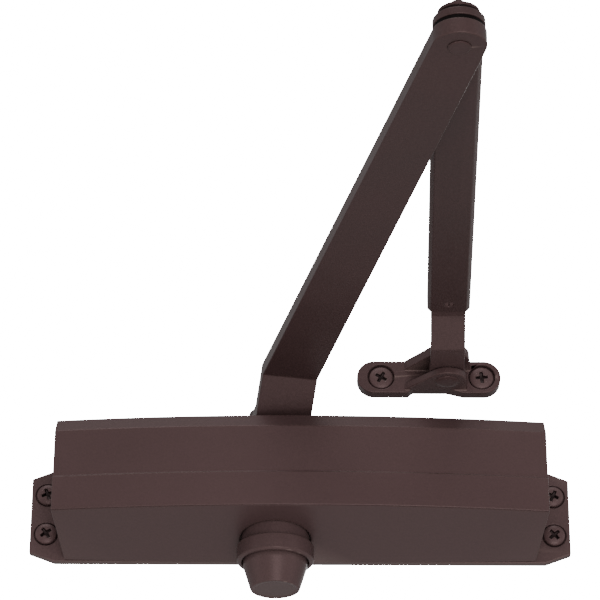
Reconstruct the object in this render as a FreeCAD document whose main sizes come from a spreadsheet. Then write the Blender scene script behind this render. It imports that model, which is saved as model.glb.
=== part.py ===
"""Surface-mounted rack-and-pinion door closer, regular-arm mounting.

Frame: millimetres, +Z up. The origin is the centre of the four door-screw holes, on the back
face of the body. +X runs along the body, +Y goes into the door.
"""
import FreeCAD, Part
import os
import re
import Sketcher

SIZES = {
    # Body casting
    "hole_span": (230.2, "door screw holes, spacing along the body"),
    "hole_rise": (19.05, "door screw holes, spacing up the body"),
    "plate_thick": (4.0, "back plate and its ears"),
    "ear_edge": (7.3, "an ear goes on this far beyond the middle of its screws"),
    "ear_top": (17.5, "top outer corner of an ear"),
    "ear_bottom": (18.5, "bottom outer corner of an ear, below the origin"),
    "plate_under": (9.0, "top edge of the back plate below the top of the cover"),
    "plate_top_inset": (2.1, "that edge ends this far inside the middle of the screws"),
    "plate_up": (1.2, "bottom edge of the back plate above the lowest edge of the cover"),
    "plate_bottom_inset": (4.3, "that edge ends this far inside the middle of the screws"),
    "block_inset": (17.1, "cylinder block, from the middle of the door screws to its end"),
    "front_wall": (3.5, "wall of the block in front of the bore"),
    "top_wall": (4.5, "wall of the block over the bore"),
    "bottom_wall": (4.0, "wall of the block under the bore"),
    "block_chamfer": (8.5, "lower front edge of the block"),
    "block_bevel": (1.5, "upper front edge of the block"),
    "axis_gap": (3.0, "room from the back plate to the end plugs' bore"),
    "bore_lift": (3.0, "bore axis above the origin"),
    "bore": (29.0, "cylinder bore"),
    "plug_step": (2.0, "threaded counterbore for the end plugs, beyond the bore all round"),
    "plug_deep": (14.0, "depth of that counterbore"),
    "pinion_left": (11.0, "spindle axis left of the origin"),
    "boss_wall": (2.6, "wall of the spindle bosses round the gland nuts"),
    "boss_proud": (0.4, "upper boss above the cover"),
    "collar_thread": (3.8, "the pinion cap's collar covers this much of the lower boss"),
    "thread_gap": (0.05, "radial gap in screw threads and shaft fits"),
    # Cover
    "cover_inset": (5.5, "cover, from the middle of the door screws to its end"),
    "cover_off": (3.8, "front of the cover's ends from the front of the block"),
    "cover_bow": (6.7, "bow of the cover's front"),
    "cover_wall": (2.2, "wall of the cover"),
    "end_draw": (3.6, "the cover's ends draw in by this much towards the door"),
    "cover_rise": (8.3, "top face of the cover above the block"),
    "bevel_drop": (7.2, "the bevel takes the front face this far down"),
    "top_setback": (4.5, "the bevel takes the top face this far back"),
    "band_top": (1.0, "upper edge of the raised band"),
    "band_proud": (0.8, "how far the band stands out"),
    "skirt_fall": (8.6, "underside of the cover falls this far on its way to the door"),
    "cover_gap": (0.3, "gap from the cover to the door and the back plate"),
    "boss_gap": (0.8, "gap round the bosses in the cover"),
    # Spindle
    "journal": (16.0, "spindle journals"),
    "waist": (12.6, "spindle between journals and teeth"),
    "tooth_count": (10.0, "pinion teeth"),
    "tooth_module": (1.75, "pitch circle per tooth"),
    "tooth_tall": (22.0, "length of the pinion teeth"),
    "tooth_slack": (0.25, "taken off each tooth's width for running clearance"),
    "journal_inset": (1.3, "the journals start this far inside the bore"),
    "shoulder_rise": (1.2, "shoulder under the arm, above the upper boss"),
    "square": (11.0, "square that drives the arm"),
    "square_short": (0.6, "upper end of the spindle, below the top of the arm's hub"),
    "tail_wide": (12.0, "lower end of the spindle"),
    "tail_up": (4.5, "lower end starts this far up inside the lower boss"),
    "tail_room": (3.0, "room under the spindle in the pinion cap"),
    # Bearings, seals and gland nuts, each stack starting at the bore
    "bearing_wall": (3.0, "wall of the bearings"),
    "bearing_gap": (0.04, "radial running clearance in the bearings"),
    "bearing_tall": (7.0, "height of the upper bearing"),
    "bearing_inset": (0.3, "bearings start this far outside the bore"),
    "seal_tall": (2.2, "height of a shaft seal"),
    "gland_step": (1.4, "a gland nut is this much wider than a bearing, all round"),
    "gland_tall": (3.4, "height of a gland nut"),
    "gland_bore_gap": (0.3, "radial gap from a gland nut to the spindle"),
    # Piston
    "piston_gap": (0.05, "radial clearance of the piston"),
    "piston_left": (62.0, "left end of the piston from the origin, door closed"),
    "piston_right": (15.0, "right end of the piston from the origin, door closed"),
    "piston_travel": (26.0, "full stroke"),
    "window_end_gap": (1.2, "room in the rack window beyond the pinion"),
    "window_back": (11.0, "plain side of the window from the spindle axis"),
    "ball": (5.0, "check ball"),
    "ball_seat_wide": (5.4, "passage that holds the ball"),
    "ball_port": (3.0, "oil port behind the ball"),
    "ball_deep": (8.5, "depth of the ball's passage"),
    "retainer_thick": (1.5, "retainer of the check ball"),
    "ring_groove": (1.4, "depth of the piston ring's groove"),
    "ring_wide": (2.4, "width of that groove"),
    # Springs and power adjustment
    "outer_coil": (23.0, "outer spring, mean diameter"),
    "outer_wire": (3.2, "outer spring, wire"),
    "outer_turns": (11.0, "outer spring, turns"),
    "inner_coil": (13.6, "inner spring, mean diameter"),
    "inner_wire": (2.0, "inner spring, wire"),
    "inner_turns": (15.0, "inner spring, turns"),
    "seat_room": (5.0, "room from the spring seat to its end plug, for the power adjustment"),
    "seat_thick": (3.0, "flange of the spring seat"),
    "seat_gap": (0.3, "radial gap from the spring seat to the bore"),
    "seat_boss_wide": (11.0, "boss of the spring seat"),
    "seat_boss_long": (4.0, "length of that boss"),
    "power_wide": (8.0, "power adjusting screw"),
    "power_reach": (11.0, "the power screw goes on this far beyond the seat"),
    "power_head": (3.4, "length of its head"),
    "power_head_wide": (12.0, "diameter of its head"),
    "power_slot": (1.6, "slot in that head"),
    # End plugs
    "plug_head": (3.0, "plug beyond the end of the block"),
    "seal_wire": (2.2, "section of the end plug's sealing ring"),
    "seal_place": (7.0, "sealing ring from the end of the block"),
    # Regulating valves
    "valve_wide": (5.0, "valve screws"),
    "valve_long": (22.0, "length of a valve screw"),
    "valve_slot": (0.8, "slot in the end of a valve screw"),
    "valve_land": (2.0, "metal between a valve and the end plug's thread"),
    "valve_angle": (46.35, "valves from the bore axis, above or below level"),
    "valve_ring_wire": (1.0, "section of a valve's sealing ring"),
    "valve_head": (1.2, "valve screw beyond the end of the block"),
    # Cover clips
    "clip_place": (62.0, "clips left and right of the origin"),
    "clip_wide": (12.0, "width of a clip"),
    "clip_thick": (0.8, "clip's spring steel"),
    "clip_foot": (7.0, "foot of the clip"),
    # Pinion cap
    "collar_wall": (2.1, "wall of the collar"),
    "collar_tuck": (0.4, "top of the collar above the lowest edge of the cover"),
    "collar_tall": (7.6, "height of the collar"),
    "collar_bevel": (0.8, "lower edge of the collar"),
    "cap_step": (0.7, "neck of the cap inside the boss's width, all round"),
    "cap_flange": (1.3, "flange that holds the cap in the collar"),
    "neck_tall": (1.7, "height of that neck under the collar"),
    "cone_draw": (3.4, "the cone draws in by this much, all round"),
    "cone_tall": (11.0, "height of the cone"),
    "cap_wall": (2.0, "wall of the cap"),
    # Main arm
    "arm_length": (308.4, "spindle to elbow"),
    "arm_angle": (12.7, "arm from square to the door, door closed"),
    "arm_thick": (6.5, "thickness of the arm"),
    "hub_wide": (25.0, "hub of the arm"),
    "hub_rise": (0.5, "underside of the hub above the spindle's shoulder"),
    "hub_tall": (8.5, "height of the hub"),
    "riser_start": (15.5, "the arm starts to rise here, from the spindle"),
    "riser_end": (29.0, "and runs flat from here"),
    "arm_rise": (14.2, "the flat stretch stands this far above the underside of the hub"),
    "arm_root_wide": (25.0, "width at the riser"),
    "arm_tip_wide": (20.2, "width at the elbow"),
    "square_gap": (0.06, "gap between hub and square"),
    "arm_screw_wide": (6.0, "screw that holds the arm"),
    "arm_screw_long": (18.0, "length of that screw under its head"),
    "arm_screw_head": (5.0, "height of its head"),
    "arm_screw_head_wide": (11.5, "across the corners of its head"),
    "washer_wide": (20.0, "washer under that head"),
    "washer_thick": (1.6, "thickness of that washer"),
    # Elbow
    "stud_wide": (8.0, "elbow stud in the two arms"),
    "stud_head_wide": (8.6, "riveted head under the arm"),
    "stud_head": (0.6, "height of that head"),
    "stem_wide": (5.2, "threaded stem above"),
    "stem_reach": (4.6, "the stem goes on this far above its nut"),
    "thrust_wide": (18.8, "plastic thrust washer"),
    "thrust_thick": (1.8, "thickness of the thrust washer"),
    "head_wide": (19.4, "disc of the forearm head"),
    "head_thick": (3.1, "thickness of that disc"),
    "spring_washer_wide": (12.4, "spring washer"),
    "spring_washer_thick": (2.2, "thickness of the spring washer"),
    "nut_wide": (15.6, "elbow nut"),
    "nut_tall": (1.3, "height of the elbow nut"),
    "bush_gap": (0.05, "radial running clearance at the elbow and the shoe"),
    # Forearm
    "forearm_length": (272.5, "elbow to shoe pivot, as set"),
    "forearm_angle": (1.83, "forearm from square to the door, door closed"),
    "tube_wide": (18.6, "width of the tube"),
    "tube_tall": (9.4, "height of the tube"),
    "tube_wall": (1.6, "wall of the tube"),
    "tube_start": (14.0, "tube starts here, from the elbow"),
    "tube_end": (225.0, "tube ends here, from the elbow"),
    "tube_round": (2.4, "rounded long edges of the tube"),
    "tongue_end": (36.0, "tongue of the forearm head ends here"),
    "slide_gap": (0.15, "gap round the rod and the tongue in the tube"),
    "rivet_place": (27.0, "rivet through tube and tongue"),
    "rivet_wide": (4.0, "shank of the rivet"),
    "rivet_head": (0.8, "height of its heads"),
    "lock_inset": (7.0, "lock screw from the end of the tube"),
    "lock_wide": (4.0, "lock screw"),
    "lock_sunk": (0.3, "lock screw below the face of the tube"),
    "lock_slot": (0.7, "slot in the lock screw, as deep as it is wide"),
    # Rod
    "rod_start": (150.0, "inner end of the rod, from the elbow"),
    "crank_room": (7.0, "rod starts to drop this far beyond the tube"),
    "crank_run": (16.0, "length of that slope"),
    "crank_drop": (8.6, "drop of the rod"),
    "eye_wide": (16.0, "eye of the rod"),
    # Shoe
    "pin_wide": (6.0, "shoe pivot pin"),
    "pin_head_wide": (11.0, "heads of the pivot pin"),
    "pin_head": (0.7, "height of those heads"),
    "bush_wall": (1.2, "wall of the bush in the rod's eye"),
    "lug_gap": (0.3, "gap from the eye to each lug"),
    "lug_thick": (3.2, "lower lug of the shoe; the upper one is level with its plate"),
    "lug_wide": (17.0, "rounded end of the lower lug"),
    "upper_lug_wide": (20.0, "rounded end of the upper lug"),
    "web_reach": (19.0, "the lugs' web meets the plate here, left of the pivot"),
    "eye_room": (0.5, "gap from the rod's eye to the shoe's plate"),
    "shoe_thick": (6.0, "plate of the shoe"),
    "shoe_tall": (15.7, "height of the plate"),
    "shoe_left": (40.2, "left end of the plate from the pivot"),
    "shoe_right": (24.6, "right end of the plate from the pivot"),
    "shoe_hole_left": (29.3, "left screw hole from the pivot"),
    "shoe_hole_span": (45.3, "spacing of the two screw holes"),
    "relief": (1.9, "lower edge of the plate is raised under the lugs"),
    "shoe_sink_gap": (0.6, "gap round the head of a shoe screw in its counterbore"),
    "shoe_sink": (2.6, "depth of that counterbore"),
    # Screws
    "door_screw_wide": (6.0, "door screws"),
    "door_hole_gap": (0.3, "gap round them in the ears"),
    "door_head_wide": (9.9, "their heads"),
    "door_head": (3.2, "height of those heads"),
    "door_sink_gap": (0.5, "gap round such a head in its counterbore"),
    "door_sink": (1.6, "depth of that counterbore"),
    "door_screw_long": (14.0, "thread that goes into the door"),
    "shoe_screw_wide": (5.5, "shoe screws"),
    "shoe_hole_gap": (0.25, "gap round them in the shoe"),
    "shoe_head_wide": (10.8, "their heads"),
    "shoe_head": (2.4, "height of those heads"),
    "shoe_screw_long": (9.0, "thread that goes into the frame"),
    "neck_relief": (0.3, "neck of a screw is this much thinner, all round, in its plate"),
    "recess_long": (6.0, "cross recess in a screw head, arm to arm"),
    "recess_wide": (1.3, "width of a recess arm"),
    "recess_deep": (1.9, "depth of the recess"),
}

# Sizes that follow from others: what fits together shares one value and a named clearance
WORKED_OUT = {
    "ear_end": "hole_span / 2 + ear_edge",
    "plate_top_end": "hole_span / 2 - plate_top_inset",
    "plate_bottom_end": "hole_span / 2 - plate_bottom_inset",
    "block_half": "hole_span / 2 - block_inset",
    "axis_depth": "plate_thick + axis_gap + plug_bore / 2",
    "plate_top": "cover_top - plate_under",
    "plate_bottom": "skirt_drop - plate_up",
    "block_front": "axis_depth + bore / 2 + front_wall",
    "block_top": "bore_lift + bore / 2 + top_wall",
    "block_bottom": "bore / 2 + bottom_wall - bore_lift",
    "plug_bore": "bore + 2 * plug_step",
    "cover_half": "hole_span / 2 - cover_inset",
    "cover_deep_end": "block_front + cover_off",
    "cover_deep": "cover_deep_end + cover_bow",
    "cover_top": "block_top + cover_rise",
    "front_top": "cover_top - bevel_drop",
    "band_bottom": "block_bottom",
    "skirt_drop": "block_bottom + skirt_fall",
    "journal_start": "bore / 2 - journal_inset",
    "bearing_start": "bore / 2 + bearing_inset",
    "bearing_wide": "journal + 2 * bearing_wall",
    "gland_wide": "bearing_wide + 2 * gland_step",
    "boss_wide": "gland_wide + 2 * boss_wall",
    "boss_up": "cover_top + boss_proud",
    "boss_down": "collar_top + collar_thread",
    "spindle_up": "boss_up + shoulder_rise",
    "spindle_top": "hub_low + hub_tall - square_short",
    "tail_start": "boss_down - tail_up",
    "spindle_bottom": "cap_bottom - cap_wall - tail_room",
    "seat_right": "block_half - plug_deep - seat_room",
    "power_start": "seat_right - power_reach",
    "valve_out": "plug_bore / 2 + valve_land + valve_wide / 2",
    "valve_across": "valve_out * cos(valve_angle * 1 deg)",
    "valve_up": "valve_out * sin(valve_angle * 1 deg)",
    "collar_top": "skirt_drop - collar_tuck",
    "collar_bottom": "collar_top + collar_tall",
    "collar_wide": "boss_wide + 2 * collar_wall",
    "cap_wide": "boss_wide - 2 * cap_step",
    "cap_end_wide": "cap_wide - 2 * cone_draw",
    "cap_cone_start": "collar_bottom + neck_tall",
    "cap_bottom": "cap_cone_start + cone_tall",
    "hub_low": "spindle_up + hub_rise",
    "arm_low": "hub_low + arm_rise",
    "crank_start": "tube_end + crank_room",
    "crank_end": "crank_start + crank_run",
    "eye_bush_wide": "pin_wide + 2 * bush_wall",
    "shoe_front": "eye_wide / 2 + eye_room",
    "shoe_hole_wide": "shoe_screw_wide + 2 * shoe_hole_gap",
    "shoe_sink_wide": "shoe_head_wide + 2 * shoe_sink_gap",
    "door_hole_wide": "door_screw_wide + 2 * door_hole_gap",
    "door_sink_wide": "door_head_wide + 2 * door_sink_gap",
}

doc = FreeCAD.newDocument("door_closer")
sheet = doc.addObject("Spreadsheet::Sheet", "Sizes")
for row, (word, (number, note)) in enumerate(SIZES.items(), start=1):
    sheet.set("A%d" % row, word)
    sheet.set("B%d" % row, str(number))
    sheet.setAlias("B%d" % row, word)
    sheet.set("C%d" % row, note)
doc.recompute()

UPRIGHT = FreeCAD.Rotation()
TURNS = {
    "X": FreeCAD.Rotation(FreeCAD.Vector(0, 1, 0), 90),
    "Y": FreeCAD.Rotation(FreeCAD.Vector(1, 0, 0), -90),
    "Z": UPRIGHT,
}
pieces = []


# ---- How the pieces are built ----

def formula(text):
    """A formula in size names, as an expression that reads the sheet."""
    def cell(match):
        word = match.group()
        if word in WORKED_OUT:
            return "(%s)" % formula(WORKED_OUT[word])
        return "Sizes." + word if word in SIZES else word
    return re.sub(r"[a-z]\w*", cell, str(text))


def bind(thing, **values):
    """Binds the thing's properties to formulas."""
    for name, text in values.items():
        thing.setExpression(name, formula(text))


def put(thing, x="0", y="0", z="0"):
    """Binds the thing's place to formulas."""
    for letter, text in zip("xyz", (x, y, z)):
        thing.setExpression("Placement.Base." + letter, formula(text))
    return thing


def swing(thing, x, y, angle):
    """Turns a piece made along +X about Z, and stands it at x, y."""
    put(thing, x, y)
    thing.setExpression("Placement.Rotation.Angle", formula("(%s) * 1 deg" % angle))
    return thing


def cylinder(name, wide, low, high, x="0", y="0", along="Z"):
    """Cylinder of a diameter, from low to high along an axis.

    x and y place its axis: for along Z they are X and Y, for along X they are Y and Z, and for
    along Y they are X and Z.
    """
    solid = doc.addObject("Part::Cylinder", name)
    bind(solid, Radius="(%s) / 2" % wide, Height="(%s) - (%s)" % (high, low))
    solid.Placement = FreeCAD.Placement(FreeCAD.Vector(), TURNS[along])
    spots = {"Z": (x, y, low), "X": (low, x, y), "Y": (x, low, y)}
    return put(solid, *spots[along])


def cone(name, wide_low, wide_high, low, high, x="0", y="0", along="Z"):
    """Cone from one diameter to another, placed as cylinder() is."""
    solid = doc.addObject("Part::Cone", name)
    bind(solid, Radius1="(%s) / 2" % wide_low, Radius2="(%s) / 2" % wide_high)
    bind(solid, Height="(%s) - (%s)" % (high, low))
    solid.Placement = FreeCAD.Placement(FreeCAD.Vector(), TURNS[along])
    spots = {"Z": (x, y, low), "X": (low, x, y), "Y": (x, low, y)}
    return put(solid, *spots[along])


def ring(name, middle, wire, at, x="0", y="0", along="Z"):
    """Round-section ring of a mean diameter and a section, placed as cylinder() is."""
    solid = doc.addObject("Part::Torus", name)
    bind(solid, Radius1="(%s) / 2" % middle, Radius2="(%s) / 2" % wire)
    solid.Placement = FreeCAD.Placement(FreeCAD.Vector(), TURNS[along])
    spots = {"Z": (x, y, at), "X": (at, x, y), "Y": (x, at, y)}
    return put(solid, *spots[along])


def box(name, left, right, front, back, low, high):
    """Box between two X, two Y and two Z values."""
    solid = doc.addObject("Part::Box", name)
    bind(solid, Length="(%s) - (%s)" % (right, left), Width="(%s) - (%s)" % (back, front))
    bind(solid, Height="(%s) - (%s)" % (high, low))
    return put(solid, left, front, low)


def join(name, *solids):
    """Several solids made into one."""
    result = doc.addObject("Part::MultiFuse", name)
    result.Shapes = list(solids)
    result.Refine = True
    return result


def shared(name, *solids):
    """What several solids have in common."""
    result = doc.addObject("Part::MultiCommon", name)
    result.Shapes = list(solids)
    result.Refine = True
    return result


def cut(name, base, *tools):
    """A solid less its tools."""
    result = doc.addObject("Part::Cut", name)
    result.Base = base
    result.Tool = tools[0] if len(tools) == 1 else group(name + "_tools", *tools)
    result.Refine = True
    return result


def group(name, *solids):
    """Separate solids that are kept as one node, or cut together."""
    result = doc.addObject("Part::Compound", name)
    result.Links = list(solids)
    return result


def tube(name, outer, inner, low, high, x="0", y="0", along="Z"):
    """Plain bush, washer or ring."""
    body = cylinder(name + "_outside", outer, low, high, x, y, along)
    hole = cylinder(name + "_hole", inner, "%s - 1" % low, "%s + 1" % high, x, y, along)
    return cut(name, body, hole)


def draw(sketch, corners):
    """Closed outline of straight lines, with both coordinates of each corner bound to formulas."""
    count = len(corners)
    start = [FreeCAD.Vector(corner, corner * corner, 0) for corner in range(count)]
    for corner in range(count):
        line = Part.LineSegment(start[corner], start[(corner + 1) % count])
        sketch.addGeometry(line, False)
    for corner in range(count):
        joint = Sketcher.Constraint("Coincident", corner, 2, (corner + 1) % count, 1)
        sketch.addConstraint(joint)
    for corner, (across, up) in enumerate(corners):
        for kind, text, guess in (("DistanceX", across, corner), ("DistanceY", up, corner ** 2)):
            number = sketch.addConstraint(
                Sketcher.Constraint(kind, -1, 1, corner, 1, float(guess)))
            sketch.setExpression("Constraints[%d]" % number, formula(text))


def padded(name, plane, corners, start, length):
    """PartDesign body: an outline on an origin plane, padded along the plane's normal.

    XY_Plane is drawn in X and Y and padded to +Z, YZ_Plane in Y and Z and padded to +X, and
    XZ_Plane in X and Z and padded to -Y.
    """
    body = doc.addObject("PartDesign::Body", name)
    sketch = body.newObject("Sketcher::SketchObject", name + "_outline")
    base = next(item for item in body.Origin.OriginFeatures if item.Role == plane)
    sketch.AttachmentSupport = [(base, "")]
    sketch.MapMode = "FlatFace"
    sketch.setExpression("AttachmentOffset.Base.z", formula(start))
    draw(sketch, corners)
    pad = body.newObject("PartDesign::Pad", name + "_pad")
    pad.Profile = sketch
    bind(pad, Length=length)
    body.Tip = pad
    return body


def keep(node, thing):
    """Makes a thing the sub-part of that name."""
    thing.Label = node
    pieces.append(thing)
    return thing


# ---- Places that several pieces share ----

SPINDLE_X = "-pinion_left"
AXIS_Y = "-axis_depth"
SPINDLE = {"x": SPINDLE_X, "y": AXIS_Y}
BORE = {"x": AXIS_Y, "y": "bore_lift", "along": "X"}
ELBOW_X = "-pinion_left + arm_length * sin(arm_angle * 1 deg)"
ELBOW_Y = "-axis_depth - arm_length * cos(arm_angle * 1 deg)"
ELBOW = {"x": ELBOW_X, "y": ELBOW_Y}
SHOE_X = ELBOW_X + " + forearm_length * sin(forearm_angle * 1 deg)"
SHOE_Y = ELBOW_Y + " + forearm_length * cos(forearm_angle * 1 deg)"
SHOE = {"x": SHOE_X, "y": SHOE_Y}

UPPER_BEARING = "bore_lift + bearing_start"
UPPER_SEAL = UPPER_BEARING + " + bearing_tall"
UPPER_GLAND = UPPER_SEAL + " + seal_tall"
LOWER_BEARING = "bore_lift - bearing_start"
LOWER_GLAND = "-boss_down + gland_tall"
LOWER_SEAL = LOWER_GLAND + " + seal_tall"
GLAND_HOLE = "journal + 2 * gland_bore_gap"

VALVES = {
    "sweep_valve": ("-axis_depth - valve_across", "bore_lift + valve_up"),
    "latch_valve": ("-axis_depth + valve_across", "bore_lift + valve_up"),
    "backcheck_valve": ("-axis_depth + valve_across", "bore_lift - valve_up"),
}
VALVE_RING_AT = "-block_half + valve_long / 2"

ARM_TOP = "arm_low + arm_thick"
FOREARM_LOW = ARM_TOP + " + thrust_thick"
FOREARM_MID = FOREARM_LOW + " + tube_tall / 2"
ROD_TALL = "tube_tall - 2 * tube_wall - 2 * slide_gap"
ROD_WIDE = "tube_wide - 2 * tube_wall - 2 * slide_gap"
EYE_MID = FOREARM_MID + " - crank_drop"
EYE_LOW = EYE_MID + " - (%s) / 2" % ROD_TALL
EYE_HIGH = EYE_MID + " + (%s) / 2" % ROD_TALL
LOWER_LUG = EYE_LOW + " - lug_gap - lug_thick"
UPPER_LUG = EYE_HIGH + " + lug_gap"
HEAD_HIGH = FOREARM_LOW + " + head_thick"
NUT_LOW = HEAD_HIGH + " + spring_washer_thick"


# ---- Body casting: back plate with ears, cylinder block, spindle bosses ----

def body_casting():
    plate_half = [
        ("ear_end", "-ear_bottom"), ("ear_end", "ear_top"), ("plate_top_end", "plate_top"),
        ("-plate_top_end", "plate_top"), ("-ear_end", "ear_top"), ("-ear_end", "-ear_bottom"),
        ("-plate_bottom_end", "-plate_bottom"), ("plate_bottom_end", "-plate_bottom"),
    ]
    plate = padded("back_plate", "XZ_Plane", plate_half, "0", "plate_thick")
    block_outline = [
        ("-plate_thick / 2", "-block_bottom"),
        ("-block_front + block_chamfer", "-block_bottom"),
        ("-block_front", "-block_bottom + block_chamfer"),
        ("-block_front", "block_top - block_bevel"),
        ("-block_front + block_bevel", "block_top"),
        ("-plate_thick / 2", "block_top"),
    ]
    block = padded("block", "YZ_Plane", block_outline, "-block_half", "2 * block_half")
    boss = cylinder("bosses", "boss_wide", "-boss_down", "boss_up", **SPINDLE)
    solid = join("casting_solid", plate, block, boss)
    tools = [
        cylinder("casting_bore", "bore", "-block_half - 1", "block_half + 1", **BORE),
        cylinder("left_counterbore", "plug_bore", "-block_half - 1",
                 "-block_half + plug_deep", **BORE),
        cylinder("right_counterbore", "plug_bore", "block_half - plug_deep",
                 "block_half + 1", **BORE),
        cylinder("bearing_bore", "bearing_wide", LOWER_SEAL, UPPER_SEAL, **SPINDLE),
        cylinder("upper_gland_bore", "gland_wide", UPPER_SEAL, "boss_up + 1", **SPINDLE),
        cylinder("lower_gland_bore", "gland_wide", "-boss_down - 1", LOWER_SEAL, **SPINDLE),
    ]
    for side, sign in (("left", "-"), ("right", "")):
        for level, way in (("high", ""), ("low", "-")):
            tools.append(cylinder(
                "door_hole_%s_%s" % (side, level), "door_hole_wide", "-plate_thick - 1", "1",
                sign + "hole_span / 2", way + "hole_rise / 2", "Y"))
            tools.append(cylinder(
                "door_sink_%s_%s" % (side, level), "door_sink_wide", "-plate_thick - 1",
                "-plate_thick + door_sink", sign + "hole_span / 2", way + "hole_rise / 2", "Y"))
    for valve, (across, up) in VALVES.items():
        tools.append(cylinder(
            valve + "_hole", "valve_wide + 2 * thread_gap", "-block_half - 1",
            "-block_half + valve_long + 2", across, up, "X"))
        tools.append(cylinder(
            valve + "_port", "valve_wide / 3", "-block_half + valve_long",
            "-block_half + valve_long + 12", across, up, "X"))
    keep("body_casting", cut("casting", solid, *tools))


# ---- Cover: bowed front, raised band, bevelled top, sloping underside, open at the back ----

def cover_shell():
    bow = "(cover_half ^ 2 + (cover_deep - cover_deep_end) ^ 2)"
    bow += " / (2 * (cover_deep - cover_deep_end))"
    face = "-cover_deep + band_proud"
    outer = [
        ("plate_thick", "cover_top"),
        ("-cover_deep + band_proud + top_setback", "cover_top"),
        (face, "front_top"),
        (face, "band_top"),
        ("-cover_deep", "band_top - band_proud / 2"),
        ("-cover_deep", "-band_bottom + band_proud / 2"),
        ("-cover_deep + band_proud / 2", "-band_bottom"),
        ("0", "-skirt_drop"),
        ("plate_thick", "-skirt_drop"),
    ]
    inner = [
        ("2 * plate_thick", "cover_top - cover_wall"),
        ("-cover_deep + band_proud + top_setback + 0.6 * cover_wall", "cover_top - cover_wall"),
        (face + " + cover_wall", "front_top - 0.6 * cover_wall"),
        (face + " + cover_wall", "-band_bottom + 0.7 * cover_wall"),
        ("0", "-skirt_drop + cover_wall"),
        ("2 * plate_thick", "-skirt_drop + cover_wall"),
    ]
    bowed = []
    for name, corners in (("cover_outside", outer), ("cover_inside", inner)):
        sketch = doc.addObject("Sketcher::SketchObject", name + "_outline")
        sketch.Placement = FreeCAD.Placement(
            FreeCAD.Vector(), FreeCAD.Rotation(FreeCAD.Vector(1, 1, 1), 120))
        draw(sketch, corners)
        turned = doc.addObject("Part::Revolution", name)
        turned.Source = sketch
        turned.Axis = FreeCAD.Vector(0, 0, 1)
        bind(turned, Angle="4 * atan(cover_bow / cover_half) / 1 deg + 4")
        turned.Symmetric = True
        turned.Solid = True
        turned.setExpression("Base.y", formula(bow + " - cover_deep"))
        bowed.append(turned)
    outside, inside = bowed
    plans = []
    for name, half, back in (("cover_slab", "cover_half", "-cover_gap"),
                             ("cover_room", "(cover_half - cover_wall)", "plate_thick")):
        plan = [
            (half, "-cover_deep - 1"), (half, "-cover_deep_end"),
            (half + " - end_draw", back), ("-%s + end_draw" % half, back),
            ("-" + half, "-cover_deep_end"), ("-" + half, "-cover_deep - 1"),
        ]
        plans.append(padded(name, "XY_Plane", plan, "-skirt_drop - 1",
                            "cover_top + skirt_drop + 2"))
    slab, room = plans
    plate_room = box("plate_room", "-ear_end", "ear_end", "-plate_thick - cover_gap", "1",
                     "-skirt_drop - 1", "plate_top + cover_gap")
    slot_wide = "boss_wide / 2 + boss_gap"
    tools = [shared("cover_hollow", inside, room), plate_room]
    for level, low, high in (("upper", "bore_lift", "cover_top + 1"),
                             ("lower", "-skirt_drop - 1", "bore_lift")):
        tools.append(cylinder(level + "_boss_hole", "boss_wide + 2 * boss_gap", low, high,
                              **SPINDLE))
        tools.append(box(level + "_boss_slot", "-pinion_left - " + slot_wide.replace("+", "-"),
                         "-pinion_left + " + slot_wide, AXIS_Y, "1", low, high))
    keep("cover_shell", cut("cover", shared("cover_block", outside, slab), *tools))


def cover_clips():
    """Bent spring-steel strips on top of the block, which hold the cover."""
    top = "cover_top - cover_wall - cover_gap"
    outline = [
        ("-clip_foot", "block_top"), ("0", "block_top"), ("0", top + " - clip_thick"),
        ("clip_foot", top + " - clip_thick"), ("clip_foot", top), ("-clip_thick", top),
        ("-clip_thick", "block_top + clip_thick"), ("-clip_foot", "block_top + clip_thick"),
    ]
    clips = []
    for side, sign in (("left", "-"), ("right", "")):
        clip = padded("clip_" + side, "XZ_Plane", outline, "-clip_wide / 2", "clip_wide")
        clips.append(put(clip, sign + "clip_place", AXIS_Y))
    keep("cover_clips", group("clips", *clips))


# ---- Pinion shaft, its bearings, seals and gland nuts ----

def pinion_shaft():
    pitch = "tooth_count * tooth_module / 2"
    middle = "bore_lift"
    parts = [
        cylinder("waist_of_spindle", "waist", middle + " - journal_start - 1",
                 middle + " + journal_start + 1", **SPINDLE),
        cylinder("upper_journal", "journal", middle + " + journal_start", "spindle_up",
                 **SPINDLE),
        cylinder("lower_journal", "journal", "-tail_start", middle + " - journal_start",
                 **SPINDLE),
        cylinder("tail", "tail_wide", "-spindle_bottom", "-tail_start", **SPINDLE),
    ]
    square = box("drive_square", "-square / 2", "square / 2", "-square / 2", "square / 2",
                 "spindle_up - 1", "spindle_top")
    parts.append(swing(square, SPINDLE_X, AXIS_Y, "arm_angle"))
    square.setExpression("Placement.Base.x", formula(
        "-pinion_left - square / 2 * (cos(arm_angle * 1 deg) - sin(arm_angle * 1 deg))"))
    square.setExpression("Placement.Base.y", formula(
        "-axis_depth - square / 2 * (cos(arm_angle * 1 deg) + sin(arm_angle * 1 deg))"))
    square.setExpression("Placement.Base.z", formula("spindle_up - 1"))
    half = "(pi * tooth_module / 2 - tooth_slack) / 2"
    tooth = [
        ("waist / 2 - 1", half), (pitch, half),
        (pitch + " + tooth_module", "0.5 * " + half),
        (pitch + " + tooth_module", "-0.5 * " + half),
        (pitch, "-" + half), ("waist / 2 - 1", "-" + half),
    ]
    count = int(SIZES["tooth_count"][0])
    for number in range(count):
        one = padded("tooth_%d" % number, "XY_Plane", tooth,
                     middle + " - tooth_tall / 2", "tooth_tall")
        swing(one, SPINDLE_X, AXIS_Y, "-90 + 360 / tooth_count * %d" % number)
        parts.append(one)
    hole = cylinder("spindle_thread", "arm_screw_wide + 2 * thread_gap",
                    "hub_low + hub_tall + washer_thick - arm_screw_long - 2",
                    "spindle_top + 1", **SPINDLE)
    keep("pinion_shaft", cut("spindle", join("spindle_solid", *parts), hole))


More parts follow.
